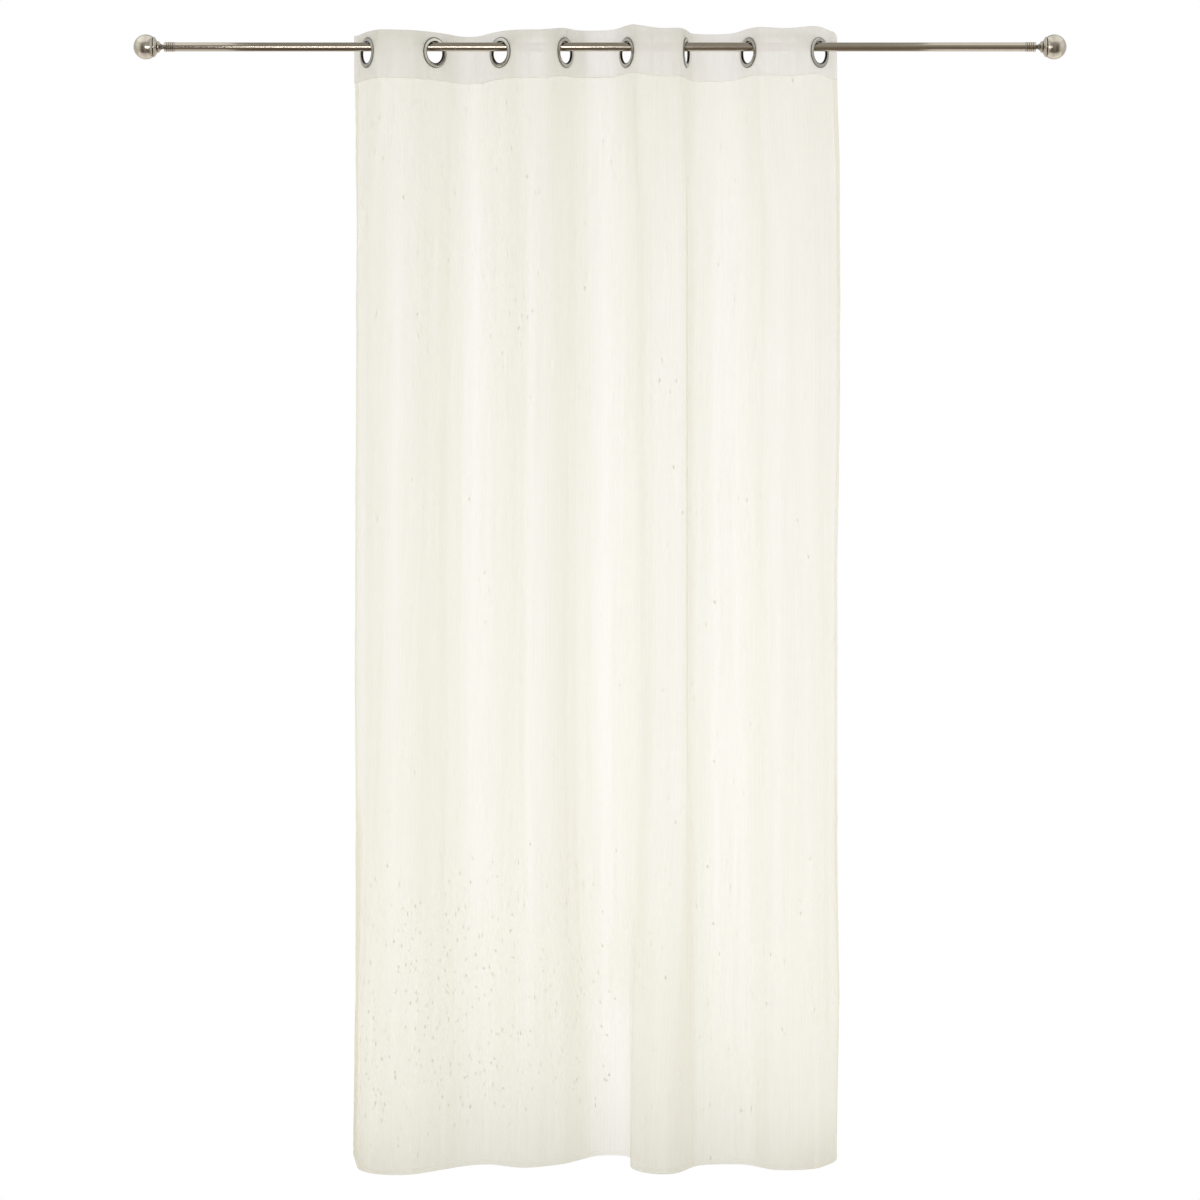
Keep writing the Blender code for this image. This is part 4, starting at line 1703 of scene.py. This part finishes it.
@dataclass
class EyeletRings:
    """The eyelets: pressed rings in two halves that grip the heading."""

    folds: HungFolds
    bore_radius: float = 22.0 * MM
    bore_half: float = 1.3 * MM
    crown_radius: float = 23.9 * MM
    crown_half: float = 2.9 * MM
    brow_radius: float = 30.4 * MM
    brow_half: float = 2.5 * MM
    outer_radius: float = 32.5 * MM
    neck_radius: float = 24.6 * MM
    grip_half: float = 0.95 * MM
    steps: int = 88
    # painted shade: dark in the bore, and a painted contact shadow where the outer edge meets the cloth
    bore_shade: tuple[float, float] = (24.0 * MM, 1.0 * MM)      # radius that ends it, and fade
    edge_shade: tuple[float, float] = (30.3 * MM, 1.4 * MM)      # radius that starts it, and fade

    def outline(self) -> Outline:
        """Closed outline of a ring's section: rolled bore, flat face, turned-down outer edge.

        Returns:
            Points of along and radius.
        """
        half = [
            (self.bore_half, self.bore_radius, 0.8 * MM),
            (self.crown_half, self.crown_radius, 1.1 * MM),
            (self.brow_half, self.brow_radius, 1.4 * MM),
            (self.grip_half + 0.5 * MM, self.outer_radius, 0.5 * MM),
            (self.grip_half, self.outer_radius - 0.3 * MM, 0.1 * MM),
            (self.grip_half, self.neck_radius, 0.0),
        ]
        return softened(half + [(-along, radius, cut) for along, radius, cut in reversed(half)])

    def shade_share(self, along: Array, radius: Array) -> Array:
        """Painted shade, 0 to 1: in the bore, and a painted contact shadow where the outer edge meets the
        cloth.
        """
        bore = 1.0 - past(radius, *self.bore_shade)
        return np.maximum(0.97 * bore, 0.8 * past(radius, *self.edge_shade))

    def build(self) -> None:
        """Build the rings, each in its place on the cloth."""
        for index in range(EYELET_COUNT):
            name = "ring_%d" % (index + 1)
            mesh = turned_mesh(name, self.outline(), self.steps, EYELET_NICKEL, True)
            # painted shade in the bore and a painted contact shadow at the outer edge
            paint_shade(mesh, self.shade_share)
            mesh.transform(eyelet_place(self.folds, index))
            dress(link_object(name, mesh), Slot.EYELET, "eyelet_%d" % (index + 1))


@dataclass
class CurtainRod:
    """The rod: one tube, with a ribbed cap and a ball finial at each end."""

    wall: float = 1.0 * MM
    steps: int = 96
    edge_round: float = 0.4 * MM
    cap_radius: float = 10.3 * MM
    cap_length: float = 21.9 * MM
    groove_count: int = 4
    first_groove: float = 3.1 * MM
    groove_pitch: float = 4.2 * MM
    groove_width: float = 1.6 * MM
    groove_depth: float = 0.7 * MM
    cap_taper: float = 1.8 * MM
    fit_gap: float = 0.3 * MM
    ball_radius: float = 26.3 * MM
    ball_start: float = -15.7 * MM
    ball_steps: int = 40
    neck_length: float = 38.3 * MM
    # painted shade on the finial's neck and in its grooves, and in the cap's grooves
    neck_shade: tuple[float, float] = (29.5 * MM, 3.0 * MM)      # from where, and over how far
    groove_shade: tuple[float, float] = (0.5 * MM, 0.6 * MM)     # up to how far off, and fade
    cap_shade_depth: tuple[float, float] = (0.15 * MM, 0.5 * MM)       # how deep, and over how far
    finial_grooves: tuple[float, float] = (-16.5 * MM, -25.0 * MM)

    def build(self) -> None:
        """Build the tube, the caps and the finials."""
        low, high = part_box("rod")
        radius, half_length = (high.z - low.z) / 2.0, high.x
        inner = radius - self.wall
        outline = []
        for sign in (-1.0, 1.0):
            end = sign * half_length
            corner = [(end, inner), (end, radius - self.edge_round)]
            corner.append((end - sign * self.edge_round, radius))
            outline += corner if sign < 0.0 else corner[::-1]
        tube = turned_mesh("rod_tube", outline, self.steps, ROD_NICKEL, True)
        dress(link_object("rod_tube", tube), Slot.ROD, "rod")
        for end in End:
            self.build_end(end, half_length + self.fit_gap)

    def build_end(self, end: End, cap_start: float) -> None:
        """Build the cap and the finial at one end.

        Args:
            end: Which end.
            cap_start: Distance of the cap's barrel from the middle of the rod.
        """
        centre = cap_start + self.cap_length + self.fit_gap + self.neck_length
        turned = Matrix.Rotation(0.0 if end is End.RIGHT else math.pi, 4, "Z")
        pieces = (
            ("cap", "end_cap", self.cap_outline(), cap_start, ROD_NICKEL, Slot.ROD),
            ("ball_finial", "finial", self.finial_outline(), centre, FINIAL_NICKEL, Slot.FINIAL),
        )
        for name, node, outline, distance, finish, slot in pieces:
            name = "%s_%s" % (name, end.label)
            mesh = turned_mesh(name, outline, self.steps, finish, False)
            # painted shade in the grooves of the cap or of the finial, and on the finial's neck
            paint_shade(mesh, self.shade_in_finial if slot is Slot.FINIAL else self.shade_in_cap)
            mesh.transform(turned @ Matrix.Translation((distance, 0.0, 0.0)))
            dress(link_object(name, mesh), slot, "%s_%s" % (node, end.label))

    def shade_in_cap(self, along: Array, radius: Array) -> Array:
        """Painted shade in the cap's grooves."""
        return 0.8 * past(self.cap_radius - radius, *self.cap_shade_depth)

    def shade_in_finial(self, along: Array, radius: Array) -> Array:
        """Painted shade in a finial's two grooves and on its narrow neck.

        Args:
            along: Places along the finial's axis from the ball's centre.
            radius: Their distances from the axis.

        Returns:
            Painted shade from 0 to 1.
        """
        shade_share = [0.75 * past(-along, *self.neck_shade)]
        for groove in self.finial_grooves:
            shade_share.append(0.85 * (1.0 - past(abs(along - groove), *self.groove_shade)))
        return np.max(shade_share, axis=0)

    def cap_outline(self) -> Outline:
        """Outline of a cap from its inner to its outer face, with rounded grooves.

        Returns:
            Points of along and radius.
        """
        outline = [(0.0, 0.0), (0.0, self.cap_radius - self.edge_round), (self.edge_round, self.cap_radius)]
        for groove in range(self.groove_count):
            middle = self.first_groove + self.groove_pitch * groove
            for share in (-1.0, -0.8, -0.4, 0.0, 0.4, 0.8, 1.0):
                sunk = self.groove_depth * (1.0 - share * share)
                outline.append((middle + share * self.groove_width / 2.0, self.cap_radius - sunk))
        outline += arc(
            (self.cap_length - self.cap_taper, self.cap_radius - self.cap_taper),
            self.cap_taper, 90.0, 0.0, 6,
        )
        return outline + [(self.cap_length, 0.0)]

    def finial_outline(self) -> Outline:
        """Outline of a finial, measured from the ball's centre: neck, disc, cup and ball.

        Returns:
            Points of along and radius.
        """
        neck = [(-38.3, 0.0), (-38.3, 4.6), (-36.4, 4.55), (-34.4, 4.9), (-32.2, 6.1), (-30.2, 7.9),
                (-28.7, 10.2), (-27.9, 11.6), (-27.4, 12.15), (-26.6, 12.4), (-25.8, 12.3),
                (-25.3, 11.6), (-25.0, 10.9)]
        cup = [(-24.6, 11.3), (-23.9, 12.4), (-22.6, 14.6), (-21.0, 17.2), (-19.6, 19.4),
               (-18.8, 20.7), (-18.2, 21.1), (-17.6, 21.1), (-17.2, 20.7), (-16.95, 19.8),
               (-16.9, 18.6), (-16.4, 18.2), (-15.9, 18.5)]
        outline = [(along * MM, radius * MM) for along, radius in neck + cup]
        first = math.degrees(math.acos(self.ball_start / self.ball_radius))
        return outline + arc((0.0, 0.0), self.ball_radius, first, 0.0, self.ball_steps)


# ---------------------------------------------------------------- studio


class Lamp(NamedTuple):
    """A soft rectangular light that faces the curtain's plane at its own height."""

    name: str
    place: tuple[float, float, float]
    size: tuple[float, float]
    radiance: float


class Card(NamedTuple):
    """A small soft light that only the metal mirrors, as a pale card near it would be."""

    name: str
    place: tuple[float, float, float]
    size: tuple[float, float]
    facing: tuple[float, float, float]
    radiance: float


@dataclass
class Studio:
    """Camera, soft light, white surroundings and a plain pale floor."""

    camera_distance: float = 5.7
    camera_height: float = -0.812
    lens: float = 80.66
    sensor: float = 36.0
    frame_shift: float = -0.1417
    floor_height: float = -2.40
    floor_half: float = 9.0
    # the floor's glow, which lights the hem, and its painted shadow under the curtain
    floor_strength: float = 1.07
    dim_half: tuple[float, float] = (0.66, 0.30)
    dim_fade: tuple[float, float] = (0.85, 1.15)        # in shares of dim_half
    window_tint: tuple[float, float, float] = (1.03, 1.0, 1.45)
    floor_tint: tuple[float, float, float] = (0.96, 0.98, 0.78)
    dim_tint: tuple[float, float, float] = (0.46, 0.46, 0.27)
    lamps: tuple[Lamp, ...] = (
        Lamp("window", (0.3, 3.0, -1.2), (1.2, 1.6), 2.66),
        Lamp("window_left", (-2.2, 2.6, -1.2), (1.2, 1.6), 2.25),
        Lamp("window_right", (2.2, 2.6, -1.2), (1.2, 1.6), 2.32),
        Lamp("side_right", (3.0, 0.8, -1.2), (1.2, 1.6), 2.8),
        Lamp("front_left", (-1.9, -3.2, -1.2), (1.2, 1.6), 2.3),
        Lamp("front_right", (1.9, -3.2, -1.2), (1.2, 1.6), 2.0),
    )
    cards: tuple[Card, ...] = (
        Card("strip_card", (-0.485, -1.25, -0.20), (0.92, 0.20), (-0.485, 0.0, -0.20), 7.4),
        Card("small_card", (-0.04, -1.75, -0.27), (0.40, 0.34), (0.0, 0.0, -0.27), 2.8),
        Card("faint_card", (0.35, -1.75, -0.22), (0.34, 0.14), (0.35, 0.0, -0.22), 1.1),
        Card("high_card_left", (-1.10, -0.08, 0.32), (0.56, 0.60), (-1.10, -0.08, 0.0), 0.64),
        Card("high_card_right", (1.04, -0.08, 0.32), (0.62, 0.60), (1.04, -0.08, 0.0), 0.52),
        Card("low_card_left", (-1.10, 0.10, -0.32), (0.56, 0.50), (-1.10, 0.10, 0.0), 0.52),
        Card("low_card_right", (1.04, 0.10, -0.32), (0.62, 0.50), (1.04, 0.10, 0.0), 0.56),
    )
    # stops of the mirrored surroundings: place round the rod, then red, green and blue
    mirrored_left: tuple[Tone, ...] = (
        (0, 0.9, 0.86, 0.81), (0.1, 0.62, 0.56, 0.5), (0.18, 0.4, 0.34, 0.29), (0.24, 0.2, 0.16, 0.125),
        (0.29, 0.07, 0.055, 0.04), (0.33, 0.12, 0.095, 0.07), (0.38, 0.24, 0.21, 0.175),
        (0.45, 0.26, 0.23, 0.19), (0.51, 0.3, 0.27, 0.23), (0.6, 0.38, 0.36, 0.32),
        (0.68, 0.33, 0.31, 0.275), (0.77, 0.34, 0.33, 0.3), (0.86, 0.3, 0.29, 0.27),
        (0.93, 0.62, 0.62, 0.59), (1, 0.92, 0.92, 0.88),
    )
    mirrored_right: tuple[Tone, ...] = (
        (0, 0.9, 0.86, 0.81), (0.1, 0.66, 0.6, 0.53), (0.19, 0.46, 0.4, 0.34), (0.28, 0.28, 0.23, 0.18),
        (0.36, 0.2, 0.165, 0.125), (0.44, 0.22, 0.18, 0.14), (0.52, 0.36, 0.34, 0.29),
        (0.6, 0.45, 0.44, 0.39), (0.68, 0.46, 0.45, 0.405), (0.77, 0.4, 0.4, 0.365),
        (0.86, 0.42, 0.42, 0.39), (0.93, 0.66, 0.66, 0.63), (1, 0.92, 0.92, 0.88),
    )
    mirrored_aside: tuple[Tone, ...] = (
        (0, 0.85, 0.82, 0.77), (0.12, 0.6, 0.55, 0.48), (0.22, 0.46, 0.41, 0.35), (0.28, 0.24, 0.2, 0.16),
        (0.33, 0.11, 0.085, 0.065), (0.47, 0.1, 0.08, 0.065), (0.52, 0.2, 0.18, 0.15),
        (0.58, 0.38, 0.37, 0.33), (0.66, 0.52, 0.52, 0.47), (0.78, 0.56, 0.57, 0.52),
        (0.88, 0.6, 0.6, 0.56), (1, 0.85, 0.85, 0.81),
    )
    mirrored_far_aside: tuple[Tone, ...] = (
        (0, 0.6, 0.58, 0.55), (0.12, 0.66, 0.62, 0.57), (0.28, 0.72, 0.67, 0.6), (0.45, 0.8, 0.76, 0.69),
        (0.55, 0.9, 0.88, 0.82), (0.75, 0.95, 0.95, 0.9), (0.88, 0.68, 0.68, 0.65), (1, 0.6, 0.6, 0.58),
    )
    # stops of the light on the cloth, from the horizon up
    sky: tuple[Tone, ...] = (
        (0.5, 0.49, 0.48, 0.44), (0.8, 0.49, 0.48, 0.44), (0.87, 0.6, 0.59, 0.54), (1, 0.62, 0.61, 0.56),
    )
    parting: tuple[float, float] = (0.055, 0.095)       # sideways part of a direction, left to right
    aside_from: tuple[float, float] = (0.165, 0.24)     # the same, middle to aside
    far_from: tuple[float, float] = (0.58, 0.82)        # aside to far aside

    def build(self) -> None:
        """Build the whole studio."""
        self.build_camera()
        self.build_surroundings()
        self.build_floor()
        self.build_lights()
        bpy.context.scene.view_settings.view_transform = "Standard"

    def build_camera(self) -> None:
        """The camera at the photograph's angle, level, with a little shift for its framing."""
        data = bpy.data.cameras.new("camera")
        data.lens = self.lens
        data.sensor_width = self.sensor
        data.shift_y = self.frame_shift
        camera = link_object("camera", data)
        camera.location = (0.0, -self.camera_distance, self.camera_height)
        camera.rotation_euler = (math.pi / 2.0, 0.0, 0.0)
        bpy.context.scene.camera = camera

    def build_surroundings(self) -> None:
        """White to the camera, even light on the cloth, and dim cards mirrored in the metal."""
        world = bpy.data.worlds.new("studio")
        w = cleared(world)
        split = w.split(w.node("ShaderNodeTexCoord").outputs["Generated"])
        roll = w.maths("ARCTAN2", split["Z"], w.maths("MULTIPLY", split["Y"], -1.0))
        place = w.maths("ADD", w.maths("DIVIDE", roll, 2.0 * math.pi), 0.5)
        ramps = (self.mirrored_left, self.mirrored_right, self.mirrored_aside, self.mirrored_far_aside)
        left, right, aside, far_aside = (self.ramp(w, place, stops) for stops in ramps)
        mirrored = w.blend(w.remap(split["X"], *self.parting), left, right)
        sideways = w.maths("ABSOLUTE", split["X"])
        for reach, tone in ((self.aside_from, aside), (self.far_from, far_aside)):
            mirrored = w.blend(w.remap(sideways, *reach), mirrored, tone)
        height = w.maths("ADD", w.maths("MULTIPLY", split["Z"], 0.5), 0.5)
        path = w.node("ShaderNodeLightPath").outputs
        lit = w.blend(path["Is Glossy Ray"], self.ramp(w, height, self.sky), mirrored)
        seen = w.blend(path["Is Camera Ray"], lit, colour(1.0, 1.0, 1.0))
        w.surface(w.node("ShaderNodeBackground", {"Color": seen}), "World")
        bpy.context.scene.world = world

    @staticmethod
    def ramp(w: Wiring, place: Socket, stops: Sequence[Tone]) -> Socket:
        """Add a colour ramp.

        Args:
            w: The wiring of the world.
            place: Where on the ramp each direction lies.
            stops: Place, red, green and blue of each stop.

        Returns:
            The ramp's colour.
        """
        made = w.in_order("ShaderNodeValToRGB", place)
        elements = made.color_ramp.elements
        while len(elements) > 1:
            elements.remove(elements[-1])
        elements[0].position, elements[0].color = stops[0][0], colour(*stops[0][1:])
        for at, *tone in stops[1:]:
            elements.new(at).color = colour(*tone)
        return made.outputs["Color"]

    def build_floor(self) -> None:
        """A plain floor that glows: white to the camera, and to all else a painted bounce light, dimmer right
        under the curtain as a painted shadow.
        """
        reach = self.floor_half
        corners = [(-reach, -reach), (reach, -reach), (reach, reach), (-reach, reach)]
        mesh = new_mesh("floor", [(x, y, self.floor_height) for x, y in corners], [], [(0, 1, 2, 3)])
        floor = link_object("floor", mesh)
        floor.visible_glossy = False
        material = bpy.data.materials.new("pale_floor")
        w = cleared(material)
        place = w.node("ShaderNodeTexCoord").outputs["Object"]
        per_half = (1.0 / self.dim_half[0], 1.0 / self.dim_half[1], 0.0)
        scaled = w.in_order("ShaderNodeVectorMath", place, per_half, operation="MULTIPLY").outputs[0]
        distance = w.in_order("ShaderNodeVectorMath", scaled, operation="LENGTH").outputs["Value"]
        # painted shadow: the glow is dimmer and yellower right under the curtain
        tone = w.blend(w.remap(distance, *self.dim_fade), colour(*self.dim_tint), colour(*self.floor_tint))
        bounce = w.node("ShaderNodeEmission", {"Color": tone, "Strength": self.floor_strength})
        camera_ray = w.node("ShaderNodeLightPath").outputs["Is Camera Ray"]
        w.surface(w.shaders(camera_ray, bounce, w.node("ShaderNodeEmission")))
        mesh.materials.append(material)

    def build_lights(self) -> None:
        """Soft lights behind and before the cloth, and cards that only the metal mirrors."""
        for lamp in self.lamps:
            facing = (0.0, 0.0, lamp.place[2])
            light = self.area(lamp.name, lamp.place, lamp.size, facing, lamp.radiance)
            light.data.color = self.window_tint
            light.visible_glossy = False
        for card in self.cards:
            light = self.area(*card)
            light.visible_diffuse = False
            light.visible_transmission = False

    @staticmethod
    def area(
        name: str, place: Sequence[float], size: tuple[float, float], facing: Sequence[float], radiance: float
    ) -> Object:
        """Add an area light that the camera doesn't see.

        Args:
            name: The light's name.
            place: Its middle.
            size: Its width and height.
            facing: The point that it faces.
            radiance: How bright it is.

        Returns:
            The light.
        """
        data = bpy.data.lights.new(name, "AREA")
        data.shape = "RECTANGLE"
        data.size, data.size_y = size
        data.energy = radiance * size[0] * size[1] * math.pi
        light = link_object(name, data)
        light.location = place
        light.rotation_euler = (Vector(facing) - Vector(place)).to_track_quat("-Z", "Y").to_euler()
        light.visible_camera = False
        return light


def main() -> None:
    """Build the curtain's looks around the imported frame."""
    logging.basicConfig(level=logging.INFO, format="%(name)s: %(message)s")
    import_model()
    folds = HungFolds()
    Studio().build()
    CurtainRod().build()
    EyeletRings(folds).build()
    heading = HeadingBand(folds).build()
    VoilePanel(folds).build(heading)


if __name__ == "__main__":
    main()
